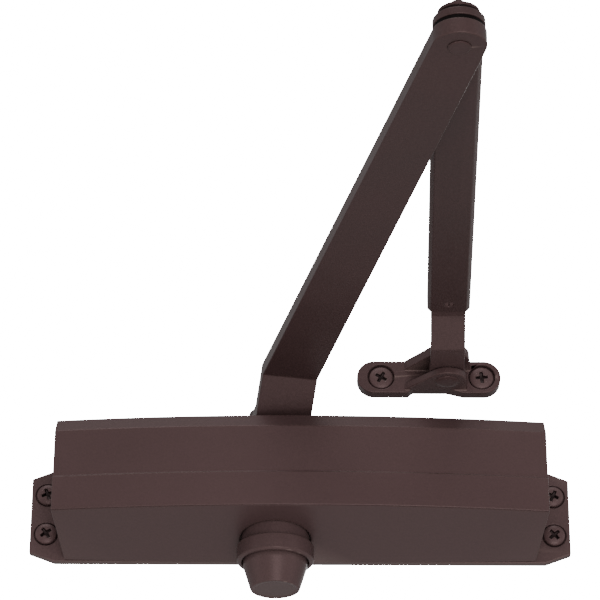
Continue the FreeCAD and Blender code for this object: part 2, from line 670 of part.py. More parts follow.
def bearings_and_seals():
    running = "journal + 2 * bearing_gap"
    keep("upper_bearing", tube("bearing_up", "bearing_wide", running,
                               UPPER_BEARING, UPPER_SEAL, **SPINDLE))
    keep("lower_bearing", tube("bearing_down", "bearing_wide", running,
                               LOWER_SEAL, LOWER_BEARING, **SPINDLE))
    keep("upper_shaft_seal", tube("seal_up", "gland_wide", running,
                                  UPPER_SEAL, UPPER_GLAND, **SPINDLE))
    keep("lower_shaft_seal", tube("seal_down", "gland_wide", running,
                                  LOWER_GLAND, LOWER_SEAL, **SPINDLE))
    keep("upper_gland_nut", tube("gland_up", "gland_wide - 2 * thread_gap", GLAND_HOLE,
                                 UPPER_GLAND, UPPER_GLAND + " + gland_tall", **SPINDLE))
    keep("lower_gland_nut", tube("gland_down", "gland_wide - 2 * thread_gap", GLAND_HOLE,
                                 "-boss_down", LOWER_GLAND, **SPINDLE))


# ---- Piston with its rack window, ring and check valve ----

def piston():
    radius = "tooth_count * tooth_module / 2"
    tips = "%s - (%s - tooth_module)" % (AXIS_Y, radius)
    roots = "%s - (%s + 1.3 * tooth_module)" % (AXIS_Y, radius)
    line = "%s - %s" % (AXIS_Y, radius)
    reach = "(%s + tooth_module + window_end_gap)" % radius
    solid = cylinder("piston_blank", "bore - 2 * piston_gap", "-piston_left", "piston_right",
                     **BORE)
    tools = [
        box("rack_window", "-pinion_left - %s - piston_travel" % reach,
            "-pinion_left + " + reach, tips, AXIS_Y + " + window_back",
            "bore_lift - bore", "bore_lift + bore"),
        cylinder("ball_passage", "ball_seat_wide", "-piston_left - 1",
                 "-piston_left + ball_deep", **BORE),
        cylinder("oil_port", "ball_port", "-piston_left",
                 "-pinion_left - %s - piston_travel + 1" % reach, **BORE),
        tube("ring_room", "bore + 2", "bore - 2 * ring_groove",
             "-piston_left + 3", "-piston_left + 3 + ring_wide", **BORE),
    ]
    pitch = "(pi * tooth_module)"
    half = "(pi * tooth_module / 4 + tooth_slack / 2)"
    flank = "tan(20 deg)"
    gap = [
        ("-(%s + tooth_module * %s)" % (half, flank), tips + " + 0.5"),
        ("%s + tooth_module * %s" % (half, flank), tips + " + 0.5"),
        ("%s + tooth_module * %s" % (half, flank), tips),
        ("%s - 1.3 * tooth_module * %s" % (half, flank), roots),
        ("-(%s - 1.3 * tooth_module * %s)" % (half, flank), roots),
        ("-(%s + tooth_module * %s)" % (half, flank), tips),
    ]
    stroke_teeth = int(SIZES["piston_travel"][0] / (3.1416 * SIZES["tooth_module"][0])) + 2
    for number in range(-stroke_teeth, 2):
        space = padded("rack_gap_%d" % (number + stroke_teeth), "XY_Plane", gap,
                       "bore_lift - bore", "2 * bore")
        tools.append(put(space, "-pinion_left + %d * %s" % (number, pitch)))
    keep("piston", cut("rack_piston", solid, *tools))
    keep("piston_seal", tube("piston_ring", "bore - 2 * piston_gap",
                             "bore - 2 * ring_groove + 2 * thread_gap", "-piston_left + 3",
                             "-piston_left + 3 + ring_wide", **BORE))
    ball = doc.addObject("Part::Sphere", "ball_blank")
    bind(ball, Radius="ball / 2")
    keep("check_ball", put(ball, "-piston_left + ball_deep - ball / 2 - 0.2", AXIS_Y,
                           "bore_lift"))
    keep("check_ball_retainer", tube("retainer", "ball_seat_wide", "ball_port",
                                     "-piston_left", "-piston_left + retainer_thick", **BORE))


# ---- Closing springs, spring seat and power screw ----

def coil(name, middle, wire, turns, low, high):
    """Coil spring along the bore axis, between low and high."""
    helix = doc.addObject("Part::Helix", name + "_line")
    bind(helix, Radius="(%s) / 2" % middle, Height="(%s) - (%s) - %s" % (high, low, wire))
    bind(helix, Pitch="((%s) - (%s) - %s) / %s" % (high, low, wire, turns))
    helix.Placement = FreeCAD.Placement(FreeCAD.Vector(), TURNS["X"])
    put(helix, "%s + %s / 2" % (low, wire), AXIS_Y, "bore_lift")
    section = doc.addObject("Part::Circle", name + "_section")
    bind(section, Radius="(%s) / 2" % wire)
    section.Placement = FreeCAD.Placement(
        FreeCAD.Vector(), FreeCAD.Rotation(FreeCAD.Vector(1, 0, 0), 90))
    put(section, "%s + %s / 2" % (low, wire), AXIS_Y, "bore_lift - %s / 2" % middle)
    doc.recompute()
    sweep = doc.addObject("Part::Sweep", name)
    sweep.Sections = [section]
    sweep.Spine = (helix, ["Edge%d" % (edge + 1) for edge in range(len(helix.Shape.Edges))])
    sweep.Solid = True
    sweep.Frenet = True
    return sweep


def springs():
    low = "piston_right"
    high = "seat_right - seat_thick"
    keep("closing_spring_outer", coil("outer_spring", "outer_coil", "outer_wire",
                                      "outer_turns", low, high))
    keep("closing_spring_inner", coil("inner_spring", "inner_coil", "inner_wire",
                                      "inner_turns", low, high))
    flange = cylinder("seat_flange", "bore - 2 * seat_gap", high, "seat_right", **BORE)
    boss = cylinder("seat_boss", "seat_boss_wide", high + " - seat_boss_long", "seat_right",
                    **BORE)
    thread = cylinder("seat_thread", "power_wide + 2 * thread_gap",
                      high + " - seat_boss_long - 1", "seat_right + 1", **BORE)
    keep("spring_seat", cut("seat", join("seat_solid", flange, boss), thread))
    shank = cylinder("power_shank", "power_wide", "power_start",
                     "block_half + plug_head + 1", **BORE)
    head = cylinder("power_head_disc", "power_head_wide", "block_half + plug_head + cover_gap",
                    "block_half + plug_head + cover_gap + power_head", **BORE)
    slot = box("power_slot", "block_half + plug_head + cover_gap + power_head / 2",
               "block_half + plug_head + cover_gap + power_head + 1",
               "-axis_depth - power_head_wide", "-axis_depth + power_head_wide",
               "bore_lift - power_slot / 2", "bore_lift + power_slot / 2")
    keep("power_adjust_screw", cut("power_screw", join("power_solid", shank, head), slot))


# ---- End plugs, their sealing rings, regulating valves ----

def end_plugs():
    seals = []
    for node, sign in (("valve_end_plug", "-"), ("spring_end_plug", "")):
        ends = ["block_half - plug_deep", "block_half + plug_head"]
        seal_at = "block_half - seal_place"
        if sign:
            ends = ["-block_half - plug_head", "-block_half + plug_deep"]
            seal_at = "-block_half + seal_place"
        blank = cylinder(node + "_blank", "plug_bore - 2 * thread_gap", *ends, **BORE)
        tools = [tube(node + "_groove", "plug_bore + 2", "plug_bore - 2 * seal_wire",
                      seal_at + " - seal_wire / 2", seal_at + " + seal_wire / 2", **BORE)]
        if not sign:
            tools.append(cylinder("power_thread", "power_wide + 2 * thread_gap",
                                  ends[0] + " - 1", ends[1] + " + 1", **BORE))
        keep(node, cut(node + "_solid", blank, *tools))
        seals.append(ring(node + "_seal", "plug_bore - seal_wire - 2 * thread_gap",
                          "seal_wire - 2 * thread_gap", seal_at, **BORE))
    keep("end_plug_seals", group("plug_seals", *seals))


def valves():
    rings = []
    for valve, (across, up) in VALVES.items():
        shank = cylinder(valve + "_shank", "valve_wide", "-block_half - valve_head",
                         "-block_half + valve_long", across, up, "X")
        groove = tube(valve + "_groove", "valve_wide + 1", "valve_wide - 2 * valve_ring_wire",
                      VALVE_RING_AT + " - valve_ring_wire / 2",
                      VALVE_RING_AT + " + valve_ring_wire / 2", across, up, "X")
        slot = box(valve + "_slot", "-block_half - valve_head - 1",
                   "-block_half - valve_head / 3", across + " - valve_wide", across
                   + " + valve_wide", up + " - valve_slot / 2",
                   up + " + valve_slot / 2")
        keep(valve + "_screw", cut(valve + "_body", shank, groove, slot))
        rings.append(ring(valve + "_ring", "valve_wide - valve_ring_wire",
                          "valve_ring_wire - 2 * thread_gap", VALVE_RING_AT, across, up, "X"))
    keep("valve_o_rings", group("valve_rings", *rings))


# ---- Pinion cap and its collar ----

def pinion_cap():
    outside = join(
        "collar_solid",
        cylinder("collar_ring", "collar_wide", "-collar_bottom + collar_bevel", "-collar_top",
                 **SPINDLE),
        cone("collar_edge", "collar_wide - 2 * collar_bevel", "collar_wide",
             "-collar_bottom", "-collar_bottom + collar_bevel", **SPINDLE))
    hole = cylinder("collar_hole", "boss_wide + 2 * thread_gap", "-collar_bottom - 1",
                    "-collar_top + 1", **SPINDLE)
    keep("pinion_cap_collar", cut("collar", outside, hole))
    flange = cylinder("cap_flange_disc", "boss_wide - 2 * thread_gap",
                      "-boss_down - cap_flange - cover_gap", "-boss_down - cover_gap",
                      **SPINDLE)
    neck = cylinder("cap_neck", "cap_wide", "-cap_cone_start", "-boss_down - cover_gap",
                    **SPINDLE)
    body = cone("cap_cone", "cap_end_wide", "cap_wide", "-cap_bottom", "-cap_cone_start",
                **SPINDLE)
    room = cone("cap_room", "cap_end_wide - 2 * cap_wall", "cap_wide - 2 * cap_wall",
                "-cap_bottom + cap_wall", "-cap_cone_start", **SPINDLE)
    mouth = cylinder("cap_mouth", "cap_wide - 2 * cap_wall", "-cap_cone_start", "-boss_down + 1",
                     **SPINDLE)
    keep("pinion_cap", cut("cap", join("cap_solid", flange, neck, body), room, mouth))


# ---- Main arm, its screw and washer ----

def main_arm():
    lean = "tan(atan((arm_low - hub_low) / (riser_end - riser_start)) / 2) * arm_thick"
    side = [
        ("hub_wide / 4", "hub_low"), ("riser_start", "hub_low"), ("riser_end", "arm_low"),
        ("arm_length", "arm_low"), ("arm_length", ARM_TOP), ("riser_end - " + lean, ARM_TOP),
        ("riser_start - " + lean, "hub_low + arm_thick"),
        ("hub_wide / 4", "hub_low + arm_thick"),
    ]
    plan = [
        ("0", "-arm_root_wide / 2"), ("riser_end", "-arm_root_wide / 2"),
        ("arm_length", "-arm_tip_wide / 2"), ("arm_length", "arm_tip_wide / 2"),
        ("riser_end", "arm_root_wide / 2"), ("0", "arm_root_wide / 2"),
    ]
    strap = shared(
        "strap", padded("arm_side", "XZ_Plane", side, "-arm_root_wide / 2", "arm_root_wide"),
        padded("arm_plan", "XY_Plane", plan, "0", "2 * arm_low"))
    hub = cylinder("hub", "hub_wide", "hub_low", "hub_low + hub_tall")
    tip = cylinder("arm_tip", "arm_tip_wide", "arm_low", ARM_TOP, "arm_length")
    hole = "square / 2 + square_gap"
    drive = box("arm_square", "-(%s)" % hole, hole, "-(%s)" % hole, hole,
                "hub_low - 1", "hub_low + hub_tall + 1")
    stud = cylinder("arm_stud_hole", "stud_wide + 2 * bush_gap", "arm_low - 1",
                    ARM_TOP + " + 1", "arm_length")
    arm = cut("arm", join("arm_solid", strap, hub, tip), drive, stud)
    keep("main_arm", swing(arm, SPINDLE_X, AXIS_Y, "arm_angle - 90"))


def arm_fixing():
    top = "hub_low + hub_tall"
    keep("arm_screw_washer", tube("arm_washer", "washer_wide",
                                  "arm_screw_wide + 2 * bush_gap", top,
                                  top + " + washer_thick", **SPINDLE))
    head = doc.addObject("Part::Prism", "arm_screw_hexagon")
    head.Polygon = 6
    bind(head, Circumradius="arm_screw_head_wide / 2", Height="arm_screw_head")
    put(head, SPINDLE_X, AXIS_Y, top + " + washer_thick")
    shank = cylinder("arm_screw_shank", "arm_screw_wide",
                     top + " + washer_thick - arm_screw_long", top + " + washer_thick + 1",
                     **SPINDLE)
    keep("arm_screw", join("arm_screw_solid", head, shank))


# ---- Elbow ----

def elbow():
    shank = cylinder("stud_shank", "stud_wide", "arm_low - stud_head", HEAD_HIGH, **ELBOW)
    rivet = cylinder("stud_rivet", "stud_head_wide", "arm_low - stud_head", "arm_low", **ELBOW)
    stem = cylinder("stud_stem", "stem_wide", HEAD_HIGH, NUT_LOW + " + nut_tall + stem_reach",
                    **ELBOW)
    keep("elbow_stud", join("stud", shank, rivet, stem))
    keep("elbow_thrust_washer", tube("thrust_washer", "thrust_wide",
                                     "stud_wide + 2 * bush_gap", ARM_TOP, FOREARM_LOW, **ELBOW))
    keep("elbow_spring_washer", tube("spring_washer", "spring_washer_wide",
                                     "stem_wide + 2 * bush_gap", HEAD_HIGH, NUT_LOW, **ELBOW))
    keep("elbow_nut", tube("nut", "nut_wide", "stem_wide + 2 * thread_gap", NUT_LOW,
                           NUT_LOW + " + nut_tall", **ELBOW))


# ---- Forearm: head, tube, rivet, lock screw, sliding rod ----

def forearm():
    turn = "90 - forearm_angle"
    low = FOREARM_LOW + " + tube_wall + slide_gap"
    high = FOREARM_LOW + " + tube_tall - tube_wall - slide_gap"
    head = join(
        "head_solid",
        cylinder("head_disc", "head_wide", FOREARM_LOW, HEAD_HIGH),
        box("head_neck", "head_wide / 4", "tongue_end", "-(%s) / 2" % ROD_WIDE,
            "(%s) / 2" % ROD_WIDE, low, HEAD_HIGH),
        box("head_tongue", "tube_start", "tongue_end", "-(%s) / 2" % ROD_WIDE,
            "(%s) / 2" % ROD_WIDE, low, high))
    rivet_hole = cylinder("tongue_rivet_hole", "rivet_wide + 2 * thread_gap", ARM_TOP,
                          FOREARM_LOW + " + 2 * tube_tall", "rivet_place")
    stud_hole = cylinder("head_stud_hole", "stud_wide + 2 * bush_gap", ARM_TOP,
                         HEAD_HIGH + " + 1")
    keep("forearm_head", swing(cut("head", head, rivet_hole, stud_hole), ELBOW_X, ELBOW_Y, turn))

    outside = box("tube_outside", "tube_start", "tube_end", "-tube_wide / 2", "tube_wide / 2",
                  FOREARM_LOW, FOREARM_LOW + " + tube_tall")
    inside = box("tube_inside", "tube_start - 1", "tube_end + 1", "-tube_wide / 2 + tube_wall",
                 "tube_wide / 2 - tube_wall", FOREARM_LOW + " + tube_wall",
                 FOREARM_LOW + " + tube_tall - tube_wall")
    lock_at = "tube_end - lock_inset"
    tools = [
        inside,
        cylinder("tube_rivet_hole", "rivet_wide + 2 * thread_gap", ARM_TOP,
                 FOREARM_LOW + " + 2 * tube_tall", "rivet_place"),
        cylinder("tube_lock_hole", "lock_wide + 2 * thread_gap", ARM_TOP, FOREARM_MID, lock_at),
    ]
    for side, sign in (("left", ""), ("right", "-")):
        for level, height in (("low", FOREARM_LOW),
                              ("high", FOREARM_LOW + " + tube_tall")):
            bar = box("edge_%s_%s" % (side, level), "tube_start - 1", "tube_end + 1",
                      "-tube_round / 2", "tube_round / 2", "-tube_round / 2",
                      "tube_round / 2")
            bar.Placement = FreeCAD.Placement(
                FreeCAD.Vector(), FreeCAD.Rotation(FreeCAD.Vector(1, 0, 0), 45))
            put(bar, "tube_start - 1", sign + "tube_wide / 2",
                height + " - tube_round / 2 * sqrt(2)")
            tools.append(bar)
    keep("forearm_tube", swing(cut("sleeve", outside, *tools), ELBOW_X, ELBOW_Y, turn))

    rivet = join(
        "rivet_solid",
        cylinder("rivet_shank", "rivet_wide", FOREARM_LOW + " - rivet_head",
                 FOREARM_LOW + " + tube_tall + rivet_head", "rivet_place"),
        cylinder("rivet_low_head", "1.6 * rivet_wide", FOREARM_LOW + " - rivet_head",
                 FOREARM_LOW, "rivet_place"),
        cylinder("rivet_high_head", "1.6 * rivet_wide", FOREARM_LOW + " + tube_tall",
                 FOREARM_LOW + " + tube_tall + rivet_head", "rivet_place"))
    keep("forearm_rivet", swing(rivet, ELBOW_X, ELBOW_Y, turn))

    lock = cylinder("lock_body", "lock_wide", FOREARM_LOW + " + lock_sunk",
                    FOREARM_LOW + " + tube_wall + slide_gap", lock_at)
    slot = box("lock_slot", lock_at + " - lock_wide", lock_at + " + lock_wide",
               "-lock_slot / 2", "lock_slot / 2", FOREARM_LOW,
               FOREARM_LOW + " + lock_sunk + lock_slot")
    keep("forearm_lock_screw", swing(cut("lock", lock, slot), ELBOW_X, ELBOW_Y, turn))

    side = [
        ("rod_start", low), ("crank_start", low), ("crank_end", EYE_LOW),
        ("forearm_length", EYE_LOW), ("forearm_length", EYE_HIGH), ("crank_end", EYE_HIGH),
        ("crank_start", high), ("rod_start", high),
    ]
    bar = padded("rod_bar", "XZ_Plane", side, "-(%s) / 2" % ROD_WIDE, ROD_WIDE)
    eye = cylinder("rod_eye", "eye_wide", EYE_LOW, EYE_HIGH, "forearm_length")
    hole = cylinder("eye_hole", "eye_bush_wide", EYE_LOW + " - 1", EYE_HIGH + " + 1",
                    "forearm_length")
    rod = cut("rod", join("rod_solid", bar, eye), hole)
    keep("forearm_rod", swing(rod, ELBOW_X, ELBOW_Y, turn))


# ---- Shoe, pivot pin and bush ----

def shoe():
    high = "%s + shoe_tall / 2" % EYE_MID
    low = "%s - shoe_tall / 2" % EYE_MID
    back = "shoe_front + shoe_thick"
    left = "-shoe_left + shoe_tall / 2"
    right = "shoe_right - shoe_tall / 2"
    parts = [
        box("shoe_plate", left, right, "shoe_front", back, low, high),
        cylinder("shoe_left_end", "shoe_tall", "shoe_front", back, left, EYE_MID, "Y"),
        cylinder("shoe_right_end", "shoe_tall", "shoe_front", back, right, EYE_MID, "Y"),
    ]
    for level, wide, start, end in (
            ("lower", "lug_wide", LOWER_LUG, LOWER_LUG + " + lug_thick"),
            ("upper", "upper_lug_wide", UPPER_LUG, high)):
        web = [
            ("-web_reach", "shoe_front + 1"), ("-web_reach", "shoe_front"),
            ("-0.8 * %s / 2" % wide, "-0.6 * %s / 2" % wide), (wide + " / 2", "0"),
            (wide + " / 2 + 1", "shoe_front + 1"),
        ]
        parts.append(padded(level + "_web", "XY_Plane", web, start,
                            "(%s) - (%s)" % (end, start)))
        parts.append(cylinder(level + "_lug", wide, start, end))
    relief_high = low + " + relief"
    relief = [
        ("-web_reach + relief", low + " - 1"), ("-web_reach + relief", low),
        ("-web_reach + 2 * relief", relief_high), ("0", relief_high),
        ("4 * relief", low), ("4 * relief", low + " - 1"),
    ]
    tools = [
        padded("plate_relief", "XZ_Plane", relief, "-(%s) - 1" % back, "shoe_thick + 1.5"),
        cylinder("pin_hole", "pin_wide + 2 * bush_gap", LOWER_LUG + " - 1", high + " + 1"),
    ]
    for side, across in (("left", "-shoe_hole_left"),
                         ("right", "-shoe_hole_left + shoe_hole_span")):
        tools.append(cylinder("shoe_hole_" + side, "shoe_hole_wide", "shoe_front - 1",
                              back + " + 1", across, EYE_MID, "Y"))
        tools.append(cylinder("shoe_sink_" + side, "shoe_sink_wide", "shoe_front - 1",
                              "shoe_front + shoe_sink", across, EYE_MID, "Y"))
    keep("shoe", put(cut("shoe_body", join("shoe_solid", *parts), *tools), SHOE_X, SHOE_Y))
    pin = join(
        "pin_solid",
        cylinder("pin_shank", "pin_wide", LOWER_LUG + " - pin_head", high + " + pin_head",
                 **SHOE),
        cylinder("pin_low_head", "pin_head_wide", LOWER_LUG + " - pin_head", LOWER_LUG, **SHOE),
        cylinder("pin_high_head", "pin_head_wide", high, high + " + pin_head", **SHOE))
    keep("shoe_pivot_pin", pin)
    keep("shoe_pivot_bush", tube("eye_bush", "eye_bush_wide", "pin_wide + 2 * bush_gap",
                                 EYE_LOW, EYE_HIGH, **SHOE))


# ---- Screws into the door and the frame ----

def screw(name, across, up, face, seat, head_wide, head, wide, long, turn):
    """Cross-recess pan-head screw along +Y. The underside of its head is at face; a relieved
    neck goes through the plate to seat, and the thread stands out behind it."""
    top = "%s - %s" % (face, head)
    blank = join(
        name + "_blank",
        cone(name + "_dome", "0.8 * " + head_wide, head_wide, top, top + " + 0.3 * " + head,
             across, up, "Y"),
        cylinder(name + "_head", head_wide, top + " + 0.3 * " + head, face, across, up, "Y"),
        cylinder(name + "_neck", wide + " - 2 * neck_relief", face, seat, across, up, "Y"),
        cylinder(name + "_shank", wide, seat, "%s + %s" % (seat, long), across, up, "Y"))
    arms = []
    for arm in range(2):
        one = box("%s_recess_%d" % (name, arm), "-recess_long / 2", "recess_long / 2",
                  "-recess_wide / 2", "recess_wide / 2", "0", "recess_deep")
        middle = doc.addObject("Part::Compound", "%s_arm_%d" % (name, arm))
        middle.Links = [one]
        about = FreeCAD.Rotation(FreeCAD.Vector(0, 1, 0), turn + 90 * arm)
        middle.Placement = FreeCAD.Placement(
            FreeCAD.Vector(), about.multiply(TURNS["Y"]))
        arms.append(put(middle, across, top, up))
    return cut(name, blank, *arms)


def door_screws():
    turns = iter((20, 35, 65, 40))
    screws = []
    for side, sign in (("left", "-"), ("right", "")):
        for level, way in (("high", ""), ("low", "-")):
            screws.append(screw(
                "door_screw_%s_%s" % (side, level), sign + "hole_span / 2",
                way + "hole_rise / 2", "(-plate_thick + door_sink)", "0", "door_head_wide",
                "door_head", "door_screw_wide", "door_screw_long", next(turns)))
    keep("mounting_screws", group("door_screws", *screws))


def shoe_screws():
    face = SHOE_Y + " + shoe_front + shoe_sink"
    back = SHOE_Y + " + shoe_front + shoe_thick"
    screws = []
    for side, across, turn in (("left", " - shoe_hole_left", 60),
                               ("right", " - shoe_hole_left + shoe_hole_span", 5)):
        screws.append(screw(
            "shoe_screw_" + side, SHOE_X + across, EYE_MID, face, back, "shoe_head_wide",
            "shoe_head", "shoe_screw_wide", "shoe_screw_long", turn))
    keep("shoe_screws", group("frame_screws", *screws))


for build in (body_casting, cover_shell, cover_clips, pinion_shaft, bearings_and_seals, piston,
              springs, end_plugs, valves, pinion_cap, main_arm, arm_fixing, elbow, forearm,
              shoe, door_screws, shoe_screws):
    build()
doc.recompute()

for thing in doc.Objects:
    for fault in ("Invalid", "Error"):
        if fault in thing.State:
            raise RuntimeError("%s is in state %s" % (thing.Name, thing.State))
for piece in pieces:
    if piece.Shape.isNull() or not piece.Shape.isValid():
        raise RuntimeError("%s has no valid shape" % piece.Label)

os.makedirs("parts", exist_ok=True)
for piece in pieces:
    piece.Shape.exportStep("parts/%s.step" % piece.Label)
    print("%-24s %3d solids %10.1f mm3" % (
        piece.Label, len(piece.Shape.Solids), piece.Shape.Volume))
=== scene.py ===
import bmesh
import bpy
import numpy as np
from mathutils import Euler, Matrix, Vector


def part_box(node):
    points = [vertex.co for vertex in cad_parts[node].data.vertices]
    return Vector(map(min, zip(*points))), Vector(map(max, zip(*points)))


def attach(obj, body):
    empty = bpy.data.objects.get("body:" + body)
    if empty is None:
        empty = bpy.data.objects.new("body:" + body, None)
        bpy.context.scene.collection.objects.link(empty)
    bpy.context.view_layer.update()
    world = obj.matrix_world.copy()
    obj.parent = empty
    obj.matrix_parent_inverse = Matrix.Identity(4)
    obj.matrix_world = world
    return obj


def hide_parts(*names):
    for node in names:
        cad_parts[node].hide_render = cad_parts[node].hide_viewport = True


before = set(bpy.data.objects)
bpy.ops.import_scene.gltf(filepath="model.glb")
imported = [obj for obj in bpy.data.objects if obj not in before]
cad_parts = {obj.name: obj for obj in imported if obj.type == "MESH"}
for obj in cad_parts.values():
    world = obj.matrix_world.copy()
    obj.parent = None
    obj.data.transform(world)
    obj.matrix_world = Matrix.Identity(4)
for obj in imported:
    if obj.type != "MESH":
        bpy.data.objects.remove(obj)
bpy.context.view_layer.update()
MM = 0.001


# ---- Camera ----
# A long lens a little over a metre away, below the closer and looking up at it at 27.5 degrees,
# as someone does who stands in front of the door. It is rolled by a fifth of a degree.

LOOK_UP = np.radians(90.0 + 27.5)
ROLL = np.radians(0.2)
camera_data = bpy.data.cameras.new("camera")
camera_data.sensor_width = 36.0
camera_data.lens = 168.0
camera_data.clip_end = 50.0
camera = bpy.data.objects.new("camera", camera_data)
camera.location = (-0.43 * MM, -1178.0 * MM, -500.81 * MM)
tilt = Euler((LOOK_UP, 0.0, 0.0)).to_matrix()
camera.rotation_euler = (tilt @ Euler((0.0, 0.0, ROLL)).to_matrix()).to_euler()
bpy.context.scene.collection.objects.link(camera)
bpy.context.scene.camera = camera


# ---- Light, backdrop and floor ----
# Soft panels stand round the closer: a key high in front, a fill at each side, two low in
# front and one behind. The floor is pale and two metres down, as under a door's head.

FLOOR_DOWN = 2.0
FLOOR_HALF = 9.0
PALE = (0.82, 0.82, 0.81)
PANELS = {
    "key": ((-0.3, -1.4, 2.6), 1.8, 28.0),
    "fill_left": ((-2.4, -0.8, 0.2), 1.6, 6.0),
    "fill_right": ((2.4, -1.2, 0.4), 1.6, 9.0),
    "front": ((0.3, -2.6, -0.5), 1.4, 19.0),
    "low_front": ((0.3, -2.0, -1.4), 1.2, 21.0),
    "back": ((0.6, 2.2, 1.4), 1.6, 22.0),
}
for word, (place, side, power) in PANELS.items():
    light = bpy.data.lights.new(word, "AREA")
    light.size = side
    light.energy = power
    lamp = bpy.data.objects.new(word, light)
    lamp.location = place
    lamp.rotation_euler = (-Vector(place)).to_track_quat("-Z", "Y").to_euler()
    bpy.context.scene.collection.objects.link(lamp)

world = bpy.data.worlds.new("studio")
bpy.context.scene.world = world
world.use_nodes = True
sky = world.node_tree
BACKDROP = 24.0
AMBIENT = 0.5
sky_out = sky.nodes["World Output"]
seen = sky.nodes["Background"]
seen.inputs["Strength"].default_value = BACKDROP
seen.inputs["Color"].default_value = (1.0, 1.0, 1.0, 1.0)
around = sky.nodes.new("ShaderNodeBackground")
around.inputs["Strength"].default_value = AMBIENT
around.inputs["Color"].default_value = (1.0, 1.0, 1.0, 1.0)
path = sky.nodes.new("ShaderNodeLightPath")
either = sky.nodes.new("ShaderNodeMixShader")
sky.links.new(path.outputs["Is Camera Ray"], either.inputs[0])
sky.links.new(around.outputs[0], either.inputs[1])
sky.links.new(seen.outputs[0], either.inputs[2])
sky.links.new(either.outputs[0], sky_out.inputs["Surface"])

floor_mesh = bpy.data.meshes.new("floor")
floor_corners = [(x * FLOOR_HALF, y * FLOOR_HALF, -FLOOR_DOWN)
                 for x, y in ((-1, -1), (1, -1), (1, 1), (-1, 1))]
floor_mesh.from_pydata(floor_corners, [], [(0, 1, 2, 3)])
floor = bpy.data.objects.new("floor", floor_mesh)
bpy.context.scene.collection.objects.link(floor)
floor_paint = bpy.data.materials.new("pale_floor")
floor_paint.use_nodes = True
floor_shader = floor_paint.node_tree.nodes["Principled BSDF"]
floor_shader.inputs["Base Color"].default_value = (*PALE, 1.0)
floor_shader.inputs["Roughness"].default_value = 0.6
floor_mesh.materials.append(floor_paint)


# ---- Body casting ----
# The iron body: a back plate whose ears take the door screws, the cylinder block and the two
# spindle bosses. It is cast, machined on its faces, and painted dark bronze.

WARM = (1.0, 0.72, 0.72)
SPECK_DARK, SPECK_LIGHT = 0.86, 1.14
# Edge wear and painted highlight: the most convex edges move towards a lighter colour.
WEAR_HIGHLIGHT_FROM, WEAR_HIGHLIGHT_TO, WEAR_HIGHLIGHT_MOST = 0.53, 0.62, 0.55
# Share of the paint's colour left in a screw's cross recess: painted shade.
RECESS_SHADE_TONE = 0.12


def material(name, colour, roughness, metallic=0.0, specular=0.3):
    """A node material with its plain values on the shader's own sockets."""
    made = bpy.data.materials.new(name)
    made.use_nodes = True
    shader = made.node_tree.nodes["Principled BSDF"]
    shader.inputs["Base Color"].default_value = (*colour, 1.0)
    shader.inputs["Roughness"].default_value = roughness
    shader.inputs["Metallic"].default_value = metallic
    shader.inputs["Specular IOR Level"].default_value = specular
    if not metallic:
        shader.inputs["Specular Tint"].default_value = (*WARM, 1.0)
    return made


def add(made, kind, values=None, **inputs):
    """A node in a material, with its settings and the numbers on its input sockets."""
    node = made.node_tree.nodes.new("ShaderNode" + kind)
    for word, value in (values or {}).items():
        setattr(node, word, value)
    for word, value in inputs.items():
        node.inputs[word.replace("_", " ")].default_value = value
    return node


